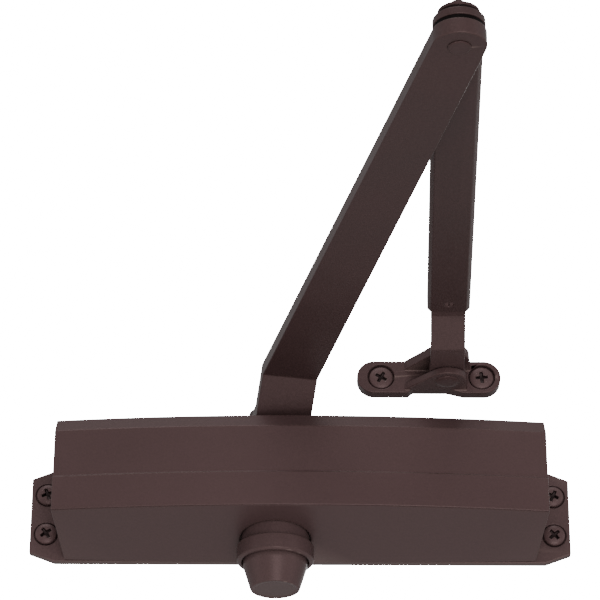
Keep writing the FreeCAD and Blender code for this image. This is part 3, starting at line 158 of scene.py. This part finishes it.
def textured(made, colour, roughness, grain, depth, drift=0.12, patch=18.0, worn=None,
             stretch=(1.0, 1.0, 1.0), shaded=None):
    """Detail for a material. Colour and roughness drift with a slow noise in object space; a
    fine noise of the given grain per metre gives relief of the given depth; where the surface is
    most convex the colour moves to the lighter one given, edge wear and a painted highlight; and
    where the piece's own attribute named by the last argument is 1 it is nearly black, painted
    shade."""
    links = made.node_tree.links
    shader = made.node_tree.nodes["Principled BSDF"]
    place = add(made, "TexCoord")
    turn = add(made, "Mapping", Scale=stretch)
    links.new(place.outputs["Object"], turn.inputs["Vector"])
    slow = add(made, "TexNoise", Scale=patch, Detail=4.0, Roughness=0.6)
    fine = add(made, "TexNoise", Scale=grain, Detail=3.0, Roughness=0.55)
    links.new(place.outputs["Object"], slow.inputs["Vector"])
    links.new(turn.outputs["Vector"], fine.inputs["Vector"])
    tone = add(made, "ValToRGB")
    low, high = tone.color_ramp.elements
    low.position, high.position = 0.3, 0.7
    low.color = (*(np.array(colour) * (1.0 - drift)), 1.0)
    high.color = (*(np.array(colour) * (1.0 + drift)), 1.0)
    links.new(slow.outputs["Fac"], tone.inputs["Fac"])
    speck = add(made, "Mix", {"data_type": "RGBA", "blend_type": "MULTIPLY"})
    speck.inputs["Factor"].default_value = 0.5
    shade = add(made, "ValToRGB")
    shade.color_ramp.elements[0].position = 0.35
    shade.color_ramp.elements[1].position = 0.65
    shade.color_ramp.elements[0].color = (SPECK_DARK, SPECK_DARK, SPECK_DARK, 1.0)
    shade.color_ramp.elements[1].color = (SPECK_LIGHT, SPECK_LIGHT, SPECK_LIGHT, 1.0)
    links.new(fine.outputs["Fac"], shade.inputs["Fac"])
    links.new(tone.outputs["Color"], speck.inputs["A"])
    links.new(shade.outputs["Color"], speck.inputs["B"])
    last = speck.outputs["Result"]
    # Edge wear and painted highlight: the most convex edges, found by pointiness, are lightened.
    if worn is not None:
        form = add(made, "NewGeometry")
        edge_light = add(made, "MapRange", From_Min=WEAR_HIGHLIGHT_FROM, From_Max=WEAR_HIGHLIGHT_TO, To_Min=0.0,
                   To_Max=WEAR_HIGHLIGHT_MOST)
        links.new(form.outputs["Pointiness"], edge_light.inputs["Value"])
        edge_wear_highlight = add(made, "Mix", {"data_type": "RGBA"})
        edge_wear_highlight.inputs["B"].default_value = (*worn, 1.0)
        links.new(edge_light.outputs["Result"], edge_wear_highlight.inputs["Factor"])
        links.new(last, edge_wear_highlight.inputs["A"])
        last = edge_wear_highlight.outputs["Result"]
    # Painted shade: where the attribute is 1 the colour goes nearly black.
    if shaded is not None:
        shade_mask = add(made, "Attribute", {"attribute_name": shaded})
        dark = add(made, "Mix", {"data_type": "RGBA"})
        dark.inputs["B"].default_value = (*(np.array(colour) * RECESS_SHADE_TONE), 1.0)
        links.new(shade_mask.outputs["Fac"], dark.inputs["Factor"])
        links.new(last, dark.inputs["A"])
        last = dark.outputs["Result"]
    links.new(last, shader.inputs["Base Color"])
    gloss = add(made, "MapRange", From_Min=0.3, From_Max=0.7,
                To_Min=roughness * 0.85, To_Max=min(1.0, roughness * 1.15))
    links.new(slow.outputs["Fac"], gloss.inputs["Value"])
    links.new(gloss.outputs["Result"], shader.inputs["Roughness"])
    relief = add(made, "Bump", Strength=1.0, Distance=depth)
    links.new(fine.outputs["Fac"], relief.inputs["Height"])
    links.new(relief.outputs["Normal"], shader.inputs["Normal"])
    return made


def painted(name, colour, roughness, grain, depth, specular=0.3, **detail):
    """Paint, plastic or rubber: a plain material with the detail that textured gives."""
    return textured(material(name, colour, roughness, specular=specular), colour, roughness,
                    grain, depth, **detail)


def finished(piece, made, body, slot, *nodes):
    """The last steps for a new piece: its material, its body and the CAD nodes it replaces. The
    slot is not used.
    """
    piece.data.materials.clear()
    piece.data.materials.append(made)
    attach(piece, body)
    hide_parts(*nodes)
    return piece


def softened(node, radius, steps=3, sharp=28.0):
    """A copy of a CAD node: its doubles are merged, its flat faces joined, and every edge
    sharper than the given angle is rounded to the given radius."""
    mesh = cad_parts[node].data.copy()
    work = bmesh.new()
    work.from_mesh(mesh)
    bmesh.ops.remove_doubles(work, verts=work.verts, dist=2e-6)
    bmesh.ops.dissolve_limit(work, angle_limit=np.radians(0.2), verts=work.verts,
                             edges=work.edges)
    work.to_mesh(mesh)
    work.free()
    for stale in ("custom_normal", "sharp_face", "sharp_edge"):
        if mesh.attributes.get(stale):
            mesh.attributes.remove(mesh.attributes[stale])
    mesh.polygons.foreach_set("use_smooth", np.ones(len(mesh.polygons), bool))
    mesh.name = node + "_soft"
    piece = bpy.data.objects.new(node + "_soft", mesh)
    bpy.context.scene.collection.objects.link(piece)
    rounding = piece.modifiers.new("rounded_edges", "BEVEL")
    rounding.width = radius * MM
    rounding.segments = steps
    rounding.limit_method = "ANGLE"
    rounding.angle_limit = np.radians(sharp)
    rounding.use_clamp_overlap = False
    rounding.miter_outer = "MITER_ARC"
    shading = piece.modifiers.new("even_shading", "WEIGHTED_NORMAL")
    shading.keep_sharp = False
    return piece


BRONZE = (0.066, 0.040, 0.040)
# A lighter colour for the rounded edges: edge wear and a painted highlight.
BRONZE_WEAR_HIGHLIGHT = (0.16, 0.11, 0.10)
body_paint = painted("body_paint", BRONZE, 0.42, 900.0, 0.00006, worn=BRONZE_WEAR_HIGHLIGHT)
finished(softened("body_casting", 0.45), body_paint, "body", "body_paint", "body_casting")


# ---- Cover ----
# The moulded cover: one thin shell with a bowed front, a raised band along its middle, a
# bevelled top edge and a sloping underside. It is pushed over the block and held by two clips.

COVER = (0.061, 0.036, 0.036)
COVER_WEAR_HIGHLIGHT = (0.13, 0.09, 0.085)
cover_paint = painted("cover_paint", COVER, 0.38, 2200.0, 0.00002, specular=0.25, drift=0.05,
                      patch=9.0, worn=COVER_WEAR_HIGHLIGHT)
finished(softened("cover_shell", 0.4), cover_paint, "body", "cover_paint", "cover_shell")


# ---- Cover clips ----
# Two strips of spring steel, hooked over the block and pressing on the inside of the cover.
# They and the two closing springs are drawn stock and keep its bare grey surface.

def metal(name, colour, roughness, grain, depth, stretch=(1.0, 1.0, 1.0), drift=0.08):
    """Bare metal: a metallic shader with drawn or turned marks along one direction."""
    return textured(material(name, colour, roughness, metallic=1.0, specular=0.5), colour,
                    roughness, grain, depth, drift=drift, stretch=stretch)


def recoated(made, *nodes):
    """A CAD node keeps its shape and takes a new material in all its slots."""
    for node in nodes:
        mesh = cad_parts[node].data
        mesh.materials.clear()
        mesh.materials.append(made)


drawn_steel = metal("drawn_spring_steel", (0.30, 0.30, 0.31), 0.38, 500.0, 0.00002,
                    (0.15, 1.0, 1.0))
recoated(drawn_steel, "cover_clips", "closing_spring_outer", "closing_spring_inner")


# ---- Spindle, bearings, seals and gland nuts ----
# One steel spindle with its pinion cut in the middle. It turns in two plain bearings behind
# rubber seals, which a nut in each boss holds in. Ground and turned surfaces, oiled.

ground_steel = metal("ground_steel", (0.50, 0.50, 0.51), 0.28, 700.0, 0.00001,
                     (1.0, 1.0, 4.0))
recoated(ground_steel, "pinion_shaft", "upper_bearing", "lower_bearing", "upper_gland_nut",
         "lower_gland_nut")
RUBBER = (0.018, 0.017, 0.017)
seal_rubber = painted("seal_rubber", RUBBER, 0.62, 1500.0, 0.00002)
recoated(seal_rubber, "upper_shaft_seal", "lower_shaft_seal", "piston_seal",
         "end_plug_seals", "valve_o_rings")


# ---- Piston, springs' seat and end plugs ----
# The piston is turned steel with the rack cut in its window; a ball and its retainer close its
# left end. The seat and the two plugs are turned from the same steel.

turned_steel = metal("turned_steel", (0.46, 0.46, 0.47), 0.32, 900.0, 0.00001,
                     (5.0, 1.0, 1.0))
recoated(turned_steel, "piston", "check_ball", "check_ball_retainer", "spring_seat",
         "valve_end_plug", "spring_end_plug")


# ---- Power screw and regulating valves ----
# The power screw is zinc-plated steel, with a yellowish passivated film. The three valve
# screws are turned brass.

zinc = metal("zinc_plated_steel", (0.46, 0.43, 0.36), 0.34, 1100.0, 0.00001, drift=0.14)
recoated(zinc, "power_adjust_screw")
brass = metal("turned_brass", (0.62, 0.45, 0.19), 0.30, 900.0, 0.00001, (4.0, 1.0, 1.0))
recoated(brass, "sweep_valve_screw", "latch_valve_screw", "backcheck_valve_screw",
         "shoe_pivot_bush")


# ---- Spindle cap and its collar ----
# The lower end of the spindle is closed by a smooth moulded cap, a cone with a flat end, which
# sits in a collar round the boss. Both are dark bronze, the cap glossier than the cover.

COLUMNS = 96


def surface(name, *grids, loop=False):
    """A closed mesh from grids of points. Rows follow the profile and columns run round and
    meet again. A row that shrinks to one point becomes a pole; with loop, the last row meets
    the first."""
    points, faces, used = [], [], 0
    for grid in grids:
        rows, columns = grid.shape[:2]
        index = np.arange(rows * columns).reshape(rows, columns) + used
        low = index if loop else index[:-1]
        high = np.roll(index, -1, axis=0) if loop else index[1:]
        quads = np.stack([low, np.roll(low, -1, axis=1), np.roll(high, -1, axis=1), high], -1)
        faces.append(quads.reshape(-1, 4))
        points.append(grid.reshape(-1, 3))
        used += rows * columns
    mesh = bpy.data.meshes.new(name)
    mesh.from_pydata((np.concatenate(points) * MM).tolist(), [],
                     np.concatenate(faces).tolist())
    work = bmesh.new()
    work.from_mesh(mesh)
    bmesh.ops.remove_doubles(work, verts=work.verts, dist=2e-7)
    bmesh.ops.recalc_face_normals(work, faces=work.faces)
    work.to_mesh(mesh)
    work.free()
    mesh.polygons.foreach_set("use_smooth", np.ones(len(mesh.polygons), bool))
    piece = bpy.data.objects.new(name, mesh)
    bpy.context.scene.collection.objects.link(piece)
    shading = piece.modifiers.new("even_shading", "WEIGHTED_NORMAL")
    shading.keep_sharp = False
    return piece


def eased(corners, radius, steps=4, loop=False):
    """A profile with each corner eased: the quadratic curve from the point a radius before the
    corner, pulled towards the corner, to the point a radius after it."""
    p = np.asarray(corners, float)
    back, on = np.roll(p, 1, axis=0) - p, np.roll(p, -1, axis=0) - p
    far_back = np.linalg.norm(back, axis=1, keepdims=True)
    far_on = np.linalg.norm(on, axis=1, keepdims=True)
    start = p + back / far_back * np.minimum(radius, 0.45 * far_back)
    end = p + on / far_on * np.minimum(radius, 0.45 * far_on)
    if not loop:
        start[[0, -1]] = end[[0, -1]] = p[[0, -1]]
    t = np.linspace(0.0, 1.0, steps + 1)[None, :, None]
    curve = (1 - t) ** 2 * start[:, None] + 2 * t * (1 - t) * p[:, None] + t ** 2 * end[:, None]
    if loop:
        return curve.reshape(-1, 2)
    return np.concatenate([p[:1], curve[1:-1].reshape(-1, 2), p[-1:]])


def turned(profile, centre, columns=COLUMNS):
    """A profile of (radius, height) carried round the upright axis through centre."""
    angle = np.linspace(0.0, 2 * np.pi, columns, endpoint=False)
    radius, height = np.asarray(profile, float).T
    return np.stack([centre[0] + radius[:, None] * np.cos(angle),
                     centre[1] + radius[:, None] * np.sin(angle),
                     height[:, None] + 0.0 * angle], axis=-1)


def middle(node):
    """The centre of a CAD node's box, and its lowest and highest corners, in millimetres."""
    low, high = (np.array(corner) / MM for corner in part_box(node))
    return (low + high) / 2, low, high


CAP = (0.070, 0.043, 0.043)
CAP_WEAR_HIGHLIGHT = (0.17, 0.12, 0.11)
cap_paint = painted("cap_paint", CAP, 0.36, 1600.0, 0.00001, specular=0.2, drift=0.04,
                    patch=30.0, worn=CAP_WEAR_HIGHLIGHT)
spindle_at, cap_low, cap_high = middle("pinion_cap")
FLANGE = (cap_high[0] - cap_low[0]) / 2
NECK, END, WALL = 14.3, 10.9, 2.0
DISH_EDGE, DISH_RIM = 1.9, 1.2
CONE_TOP, FLANGE_LOW = -33.0, cap_high[2] - 1.3
cap_profile = eased([
    (0.0, cap_low[2] + 0.35), (END - DISH_EDGE, cap_low[2] + 0.3), (END - DISH_RIM, cap_low[2]),
    (END, cap_low[2]), (NECK, CONE_TOP), (NECK, FLANGE_LOW), (FLANGE, FLANGE_LOW),
    (FLANGE, cap_high[2]), (NECK - WALL, cap_high[2]), (NECK - WALL, CONE_TOP),
    (END - WALL, cap_low[2] + WALL), (0.0, cap_low[2] + WALL)], 0.7, steps=5)
cap = surface("pinion_cap_turned", turned(cap_profile, spindle_at))
finished(cap, cap_paint, "body", "cap_paint", "pinion_cap")

_, collar_low, collar_high = middle("pinion_cap_collar")
COLLAR = (collar_high[0] - collar_low[0]) / 2
BOSS, COLLAR_BEVEL = 15.0, 0.8
collar_profile = eased([
    (BOSS, collar_low[2]), (COLLAR - COLLAR_BEVEL, collar_low[2]),
    (COLLAR, collar_low[2] + COLLAR_BEVEL),
    (COLLAR, collar_high[2]), (BOSS, collar_high[2])], 0.35, loop=True)
collar = surface("pinion_cap_collar_turned", turned(collar_profile, spindle_at), loop=True)
finished(collar, cap_paint, "body", "cap_paint", "pinion_cap_collar")


# ---- Main arm ----
# A forged steel arm: its hub has a square hole for the spindle, and the strap rises past the
# cover and tapers to the elbow. Painted dark bronze after forging, so its edges are soft.

ARM = (0.043, 0.024, 0.024)
arm_paint = painted("arm_paint", ARM, 0.40, 750.0, 0.00007, worn=BRONZE_WEAR_HIGHLIGHT)
finished(softened("main_arm", 0.5), arm_paint, "spindle", "arm_paint", "main_arm")


# ---- Arm screw and its washer ----
# A hexagon-headed screw, zinc plated, goes down into the spindle and clamps the hub under a
# flat washer.

def hexagon(profile, centre, flats, columns=120):
    """A profile of (radius, height) whose cross section is a regular hexagon cut by a circle:
    each radius is the lesser of the profile's and the hexagon's in that direction."""
    angle = np.linspace(0.0, 2 * np.pi, columns, endpoint=False)
    radius, height = np.asarray(profile, float).T
    wrapped = np.mod(angle, np.pi / 3) - np.pi / 6
    side = flats / 2 / np.cos(wrapped)
    reach = np.minimum(radius[:, None], side)
    return np.stack([centre[0] + reach * np.cos(angle), centre[1] + reach * np.sin(angle),
                     height[:, None] + 0.0 * angle], axis=-1)


def ring_section(inner, outer, low, high):
    """The four corners of a flat ring's section, as (radius, height)."""
    return [(inner, low), (outer, low), (outer, high), (inner, high)]


_, screw_low, screw_high = middle("arm_screw")
_, washer_low, washer_high = middle("arm_screw_washer")
HEAD_UNDER = washer_high[2]
HEAD_CORNERS = 11.5
HEAD_FLATS = HEAD_CORNERS * np.cos(np.pi / 6)
HEAD_DISH, NECK_RADIUS, THREAD_RADIUS = 0.5, 3.0, 2.6
WASHER_HOLE, WASHER_RADIUS = 3.05, 10.0
head_profile = eased([
    (0.0, screw_high[2] - HEAD_DISH), (3.4, screw_high[2] - HEAD_DISH), (3.8, screw_high[2]),
    (HEAD_FLATS / 2 - 0.2, screw_high[2]), (HEAD_CORNERS / 2, screw_high[2] - 0.7),
    (HEAD_CORNERS / 2, HEAD_UNDER), (NECK_RADIUS, HEAD_UNDER),
    (NECK_RADIUS, HEAD_UNDER - 2.0), (THREAD_RADIUS, HEAD_UNDER - 2.4),
    (THREAD_RADIUS, screw_low[2] + 0.6), (2.0, screw_low[2]),
    (0.0, screw_low[2])], 0.15)
arm_screw = surface("arm_screw_hexagon", hexagon(head_profile, spindle_at, HEAD_FLATS))
finished(arm_screw, zinc, "spindle", "plated_steel", "arm_screw")

washer_profile = eased(ring_section(WASHER_HOLE, WASHER_RADIUS, washer_low[2], HEAD_UNDER),
                       0.3, loop=True)
washer = surface("arm_screw_washer_flat", turned(washer_profile, spindle_at), loop=True)
finished(washer, zinc, "spindle", "plated_steel", "arm_screw_washer")


# ---- Elbow: stud, washers and nut ----
# A stepped stud is riveted into the main arm. Over it go a black plastic thrust washer, the
# forearm's head, a split spring washer and a thin round nut on the threaded stem.

def tooth(phase):
    """How high a thread stands, from 0 at its root to 1 at its crest: a triangular wave with a
    flattened crest, highest where the phase is a half."""
    return np.clip(1.15 - 2.3 * np.abs(phase - 0.5), 0.0, 1.0)


def threaded(core, crest, pitch, low, high, centre, columns=COLUMNS):
    """A screw thread between two heights. The radius follows a triangular wave from core to
    crest, whose phase is the height over the pitch less the angle over a full turn."""
    height = np.arange(low, high + pitch / 16, pitch / 8)[:, None]
    angle = np.linspace(0.0, 2 * np.pi, columns, endpoint=False)[None, :]
    phase = np.mod(height / pitch - angle / (2 * np.pi), 1.0)
    radius = core + (crest - core) * tooth(phase)
    return np.stack([centre[0] + radius * np.cos(angle), centre[1] + radius * np.sin(angle),
                     height + 0.0 * angle], axis=-1)


elbow_at, thrust_low, thrust_high = middle("elbow_thrust_washer")
_, stud_low, stud_high = middle("elbow_stud")
_, nut_low, nut_high = middle("elbow_nut")
_, split_low, split_high = middle("elbow_spring_washer")
STUD, STUD_HEAD, STEM = 4.0, 4.3, 2.6
STEM_CORE, STEM_PITCH, CLEAR = STEM - 0.45, 0.8, 0.05
SHOULDER = split_low[2]
stem = threaded(STEM_CORE, STEM, STEM_PITCH, SHOULDER + 0.2, stud_high[2] - 0.5, elbow_at)
stud_foot = turned(eased([
    (0.0, stud_low[2]), (STUD_HEAD - 0.5, stud_low[2]), (STUD_HEAD, stud_low[2] + 0.3),
    (STUD_HEAD, stud_low[2] + 0.6), (STUD, stud_low[2] + 0.6), (STUD, SHOULDER),
    (STEM_CORE, SHOULDER)], 0.12), elbow_at)
stud_tip = turned([(STEM_CORE, stud_high[2] - 0.35), (STEM - 0.75, stud_high[2]),
                   (0.0, stud_high[2])], elbow_at)
stud = surface("elbow_stud_threaded", np.concatenate([stud_foot, stem, stud_tip]))
finished(stud, arm_paint, "spindle", "arm_paint", "elbow_stud")

BLACK = (0.004, 0.003, 0.003)
black_plastic = painted("black_plastic", BLACK, 0.5, 1300.0, 0.00002, specular=0.06)
THRUST = (thrust_high[0] - thrust_low[0]) / 2
thrust_profile = eased(ring_section(STUD + CLEAR, THRUST, thrust_low[2], thrust_high[2]),
                       0.35, loop=True)
thrust = surface("elbow_thrust_washer_moulded", turned(thrust_profile, elbow_at), loop=True)
finished(thrust, black_plastic, "spindle", "black_plastic", "elbow_thrust_washer")


def split_ring(section, centre, low, rise, gap, steps=120):
    """A split washer: a closed section of (radius, height) carried round the upright axis from
    one side of the gap to the other, while it climbs evenly by the rise. Each end closes on
    the middle of its section."""
    angle = np.linspace(np.radians(gap / 2), 2 * np.pi - np.radians(gap / 2), steps)
    angle = np.concatenate([angle[:1], angle, angle[-1:]])[:, None]
    climb = low + rise * angle / (2 * np.pi)
    radius, height = np.asarray(section, float).T
    radius = np.tile(radius, (len(angle), 1))
    height = np.tile(height, (len(angle), 1))
    radius[[0, -1]], height[[0, -1]] = radius.mean(), height.mean()
    return np.stack([centre[0] + radius * np.cos(angle), centre[1] + radius * np.sin(angle),
                     climb + height], axis=-1)


RISE = 0.5
WASHER_HALF = (split_high[0] - split_low[0]) / 2
WASHER_TALL = split_high[2] - split_low[2] - RISE
washer_section = eased(ring_section(STEM + CLEAR, WASHER_HALF, 0.0, WASHER_TALL), 0.25,
                       loop=True)
spring_washer = surface("elbow_spring_washer_split",
                        split_ring(washer_section, elbow_at, split_low[2], RISE, 8.0))
finished(spring_washer, drawn_steel, "spindle", "spring_steel", "elbow_spring_washer")

NUT_HALF = (nut_high[0] - nut_low[0]) / 2
nut_profile = eased(ring_section(STEM + CLEAR, NUT_HALF, nut_low[2], nut_high[2]), 0.25,
                    loop=True)
nut = surface("elbow_nut_round", turned(nut_profile, elbow_at), loop=True)
finished(nut, arm_paint, "spindle", "arm_paint", "elbow_nut")


# ---- Forearm: head, tube, rivet and lock screw ----
# The forearm is a drawn rectangular steel tube. The forged head is pushed into one end and
# held by a rivet; a slotted screw near the other end grips the rod inside.

TUBE = (0.041, 0.023, 0.023)
tube_paint = painted("tube_paint", TUBE, 0.38, 850.0, 0.00005, drift=0.08, worn=BRONZE_WEAR_HIGHLIGHT)
finished(softened("forearm_head", 0.4), tube_paint, "forearm", "arm_paint", "forearm_head")
finished(softened("forearm_tube", 0.45), tube_paint, "forearm", "arm_paint", "forearm_tube")

rivet_at, rivet_low, rivet_high = middle("forearm_rivet")
RIVET, RIVET_SHANK, RIVET_RISE = 3.2, 2.0, 0.8
rivet_profile = eased([
    (0.0, rivet_low[2]), (1.8, rivet_low[2] + 0.1), (RIVET - 0.3, rivet_low[2] + 0.45),
    (RIVET, rivet_low[2] + RIVET_RISE), (RIVET_SHANK, rivet_low[2] + RIVET_RISE),
    (RIVET_SHANK, rivet_high[2] - RIVET_RISE), (RIVET, rivet_high[2] - RIVET_RISE),
    (RIVET - 0.3, rivet_high[2] - 0.45), (1.8, rivet_high[2] - 0.1), (0.0, rivet_high[2])],
    0.25)
rivet = surface("forearm_rivet_domed", turned(rivet_profile, rivet_at))
finished(rivet, tube_paint, "forearm", "arm_paint", "forearm_rivet")

SCREWS = (0.074, 0.044, 0.044)
SCREWS_WEAR_HIGHLIGHT = (0.20, 0.15, 0.145)
# Painted shade: this paint goes nearly black in the screws' cross recesses.
screw_paint = painted("screw_paint", SCREWS, 0.40, 1000.0, 0.00003, worn=SCREWS_WEAR_HIGHLIGHT,
                      shaded="recess")
finished(softened("forearm_lock_screw", 0.12), screw_paint, "lock_screw_body", "screw_paint",
         "forearm_lock_screw")


# ---- Rod ----
# A flat steel bar that slides in the tube, cranked down outside it and ending in an eye with
# a brass bush. Painted like the arms.

ROD = (0.062, 0.037, 0.037)
rod_paint = painted("rod_paint", ROD, 0.40, 800.0, 0.00005, worn=BRONZE_WEAR_HIGHLIGHT)
finished(softened("forearm_rod", 0.4), rod_paint, "rod_body", "arm_paint", "forearm_rod")


# ---- Shoe and its pivot pin ----
# The shoe is a cast plate with rounded ends, two counterbored screw holes and two lugs. A pin
# with a riveted head at each end goes through the lugs and the rod's eye.

SHOE = (0.054, 0.031, 0.031)
shoe_paint = painted("shoe_paint", SHOE, 0.42, 800.0, 0.00007, worn=BRONZE_WEAR_HIGHLIGHT)
finished(softened("shoe", 0.5), shoe_paint, "shoe_body", "arm_paint", "shoe")

pin_at, pin_low, pin_high = middle("shoe_pivot_pin")
PIN, PIN_HEAD, PIN_RISE = 3.0, 5.5, 0.7
pin_profile = eased([
    (0.0, pin_low[2]), (3.6, pin_low[2] + 0.05), (PIN_HEAD - 0.3, pin_low[2] + 0.35),
    (PIN_HEAD, pin_low[2] + PIN_RISE), (PIN, pin_low[2] + PIN_RISE),
    (PIN, pin_high[2] - PIN_RISE), (PIN_HEAD, pin_high[2] - PIN_RISE),
    (PIN_HEAD - 0.3, pin_high[2] - 0.35), (3.6, pin_high[2] - 0.05), (0.0, pin_high[2])], 0.25)
pin = surface("shoe_pivot_pin_riveted", turned(pin_profile, pin_at))
finished(pin, shoe_paint, "shoe_body", "arm_paint", "shoe_pivot_pin")


# ---- Door screws and frame screws ----
# Pan-head machine screws with a cross recess, painted to match: four in counterbored holes in
# the ears, two through the shoe. Each has a neck inside its plate that is thinner than its
# thread, and stopped at its own angle.

# The cross recesses of these screws carry painted shade in their paint.
RECESS_LONG, RECESS_WIDE, RECESS_DEEP = 2.8, 0.95, 1.9
DOME, NECK_RELIEF, PITCH = 0.32, 0.3, 1.25
THREAD_DEEP, TIP_DEEP = 0.6, 0.9


def domed(r, reach, head):
    """How far the dome has dropped at a radius: with the fourth power of the radius."""
    return DOME * head * (r / reach) ** 4


def machine_screw(across, up, face, seat, reach, head, wide, tip, turn, columns=COLUMNS):
    """A cross-recess pan-head screw along +Y. Rows run from the middle of the head over its
    dome, round its rim, along the neck to the seat, and along the thread to the tip. The recess
    is as deep as the lesser of its depth and a steep ramp from the nearer wall of the nearer
    arm, and its arms narrow outwards. The thread's radius is a triangular wave whose phase is
    the distance over the pitch less the angle over a full turn."""
    angle = np.linspace(0.0, 2 * np.pi, columns, endpoint=False)[None, :]
    r = np.linspace(0.0, 1.0, 46)[:, None] ** 0.9 * (reach - 0.25)
    u, v = (np.abs(r * wave(angle - np.radians(turn))) for wave in (np.cos, np.sin))
    half = RECESS_WIDE * (1.0 - 0.25 * r / RECESS_LONG)
    inside = np.maximum(np.minimum(half - v, RECESS_LONG - u),
                        np.minimum(half - u, RECESS_LONG - v))
    sink = RECESS_DEEP * np.clip(inside / 0.22, 0.0, 1.0) * (1.0 - 0.35 * (r / RECESS_LONG) ** 2)
    top = face - head
    dome = np.stack([across + r * np.cos(angle),
                     top + domed(r, reach, head) + np.maximum(sink, 0.0),
                     up + r * np.sin(angle)], axis=-1)

    def rings(radius, along):
        """Rows of the given radii at the given distances along the screw."""
        radius, along = (np.asarray(item, float).reshape(len(item), -1)
                         for item in (radius, along))
        return np.stack([across + radius * np.cos(angle), along + 0.0 * angle,
                         up + radius * np.sin(angle)], axis=-1)

    neck = wide / 2 - NECK_RELIEF
    rim = rings([reach - 0.12, reach - 0.03, reach, reach, reach - 0.1, neck + 0.25, neck, neck],
                [top + 0.36 * head, top + 0.44 * head, top + 0.55 * head, face - 0.12, face,
                 face, face + 0.25, seat])
    along = np.arange(seat + 0.2, tip - 0.6, PITCH / 7)[:, None]
    phase = np.mod((along - seat) / PITCH - angle / (2 * np.pi), 1.0)
    thread = rings(wide / 2 - THREAD_DEEP * (1.0 - tooth(phase)), along)
    end = rings([wide / 2 - THREAD_DEEP, wide / 2 - TIP_DEEP, 0.0], [tip - 0.45, tip, tip])
    return np.concatenate([dome, rim, thread, end])


def screws(name, spots, face, seat, reach, head, wide, tip):
    """Like screws in one piece. Its recess attribute is 1 where a point lies in a recess, well
    under the dome and over the head's underside. It marks the painted shade in the recesses."""
    piece = surface(name, *(machine_screw(across, up, face, seat, reach, head, wide, tip, turn)
                            for across, up, turn in spots))
    points = np.empty(len(piece.data.vertices) * 3)
    piece.data.vertices.foreach_get("co", points)
    x, y, z = points.reshape(-1, 3).T / MM
    recess_shade_points = np.zeros(len(x), bool)
    for across, up, _ in spots:
        r = np.hypot(x - across, z - up)
        under = y - (face - head) - domed(r, reach, head)
        recess_shade_points |= (r < RECESS_LONG + 0.1) & (under > 0.3) & (y < face)
    piece.data.attributes.new("recess", "FLOAT", "POINT").data.foreach_set(
        "value", recess_shade_points.astype(float))
    return piece


_, door_low, door_high = middle("mounting_screws")
DOOR_HEAD, DOOR_HEAD_TALL, DOOR_SHANK = 4.95, 3.2, 6.0
HOLE_HALF = (door_high[0] - door_low[0]) / 2 - DOOR_HEAD
HOLE_UP = (door_high[2] - door_low[2]) / 2 - DOOR_HEAD
DOOR_SPOTS = ((-HOLE_HALF, HOLE_UP, 20.0), (-HOLE_HALF, -HOLE_UP, 35.0),
              (HOLE_HALF, HOLE_UP, 65.0), (HOLE_HALF, -HOLE_UP, 40.0))
door_screws = screws("mounting_screws_threaded", DOOR_SPOTS, door_low[1] + DOOR_HEAD_TALL, 0.0,
                     DOOR_HEAD, DOOR_HEAD_TALL, DOOR_SHANK, door_high[1])
finished(door_screws, screw_paint, "body", "screw_paint", "mounting_screws")

frame_mid, frame_low, frame_high = middle("shoe_screws")
SHOE_HEAD, SHOE_HEAD_TALL, SHOE_SHANK = 5.4, 2.4, 5.5
SHOE_HALF = (frame_high[0] - frame_low[0]) / 2 - SHOE_HEAD
SHOE_SPOTS = ((frame_mid[0] - SHOE_HALF, frame_mid[2], 60.0),
              (frame_mid[0] + SHOE_HALF, frame_mid[2], 5.0))
shoe_back = middle("shoe")[2][1]
frame_screws = screws("shoe_screws_threaded", SHOE_SPOTS, frame_low[1] + SHOE_HEAD_TALL,
                      shoe_back, SHOE_HEAD, SHOE_HEAD_TALL, SHOE_SHANK, frame_high[1])
finished(frame_screws, screw_paint, "shoe_body", "screw_paint", "shoe_screws")
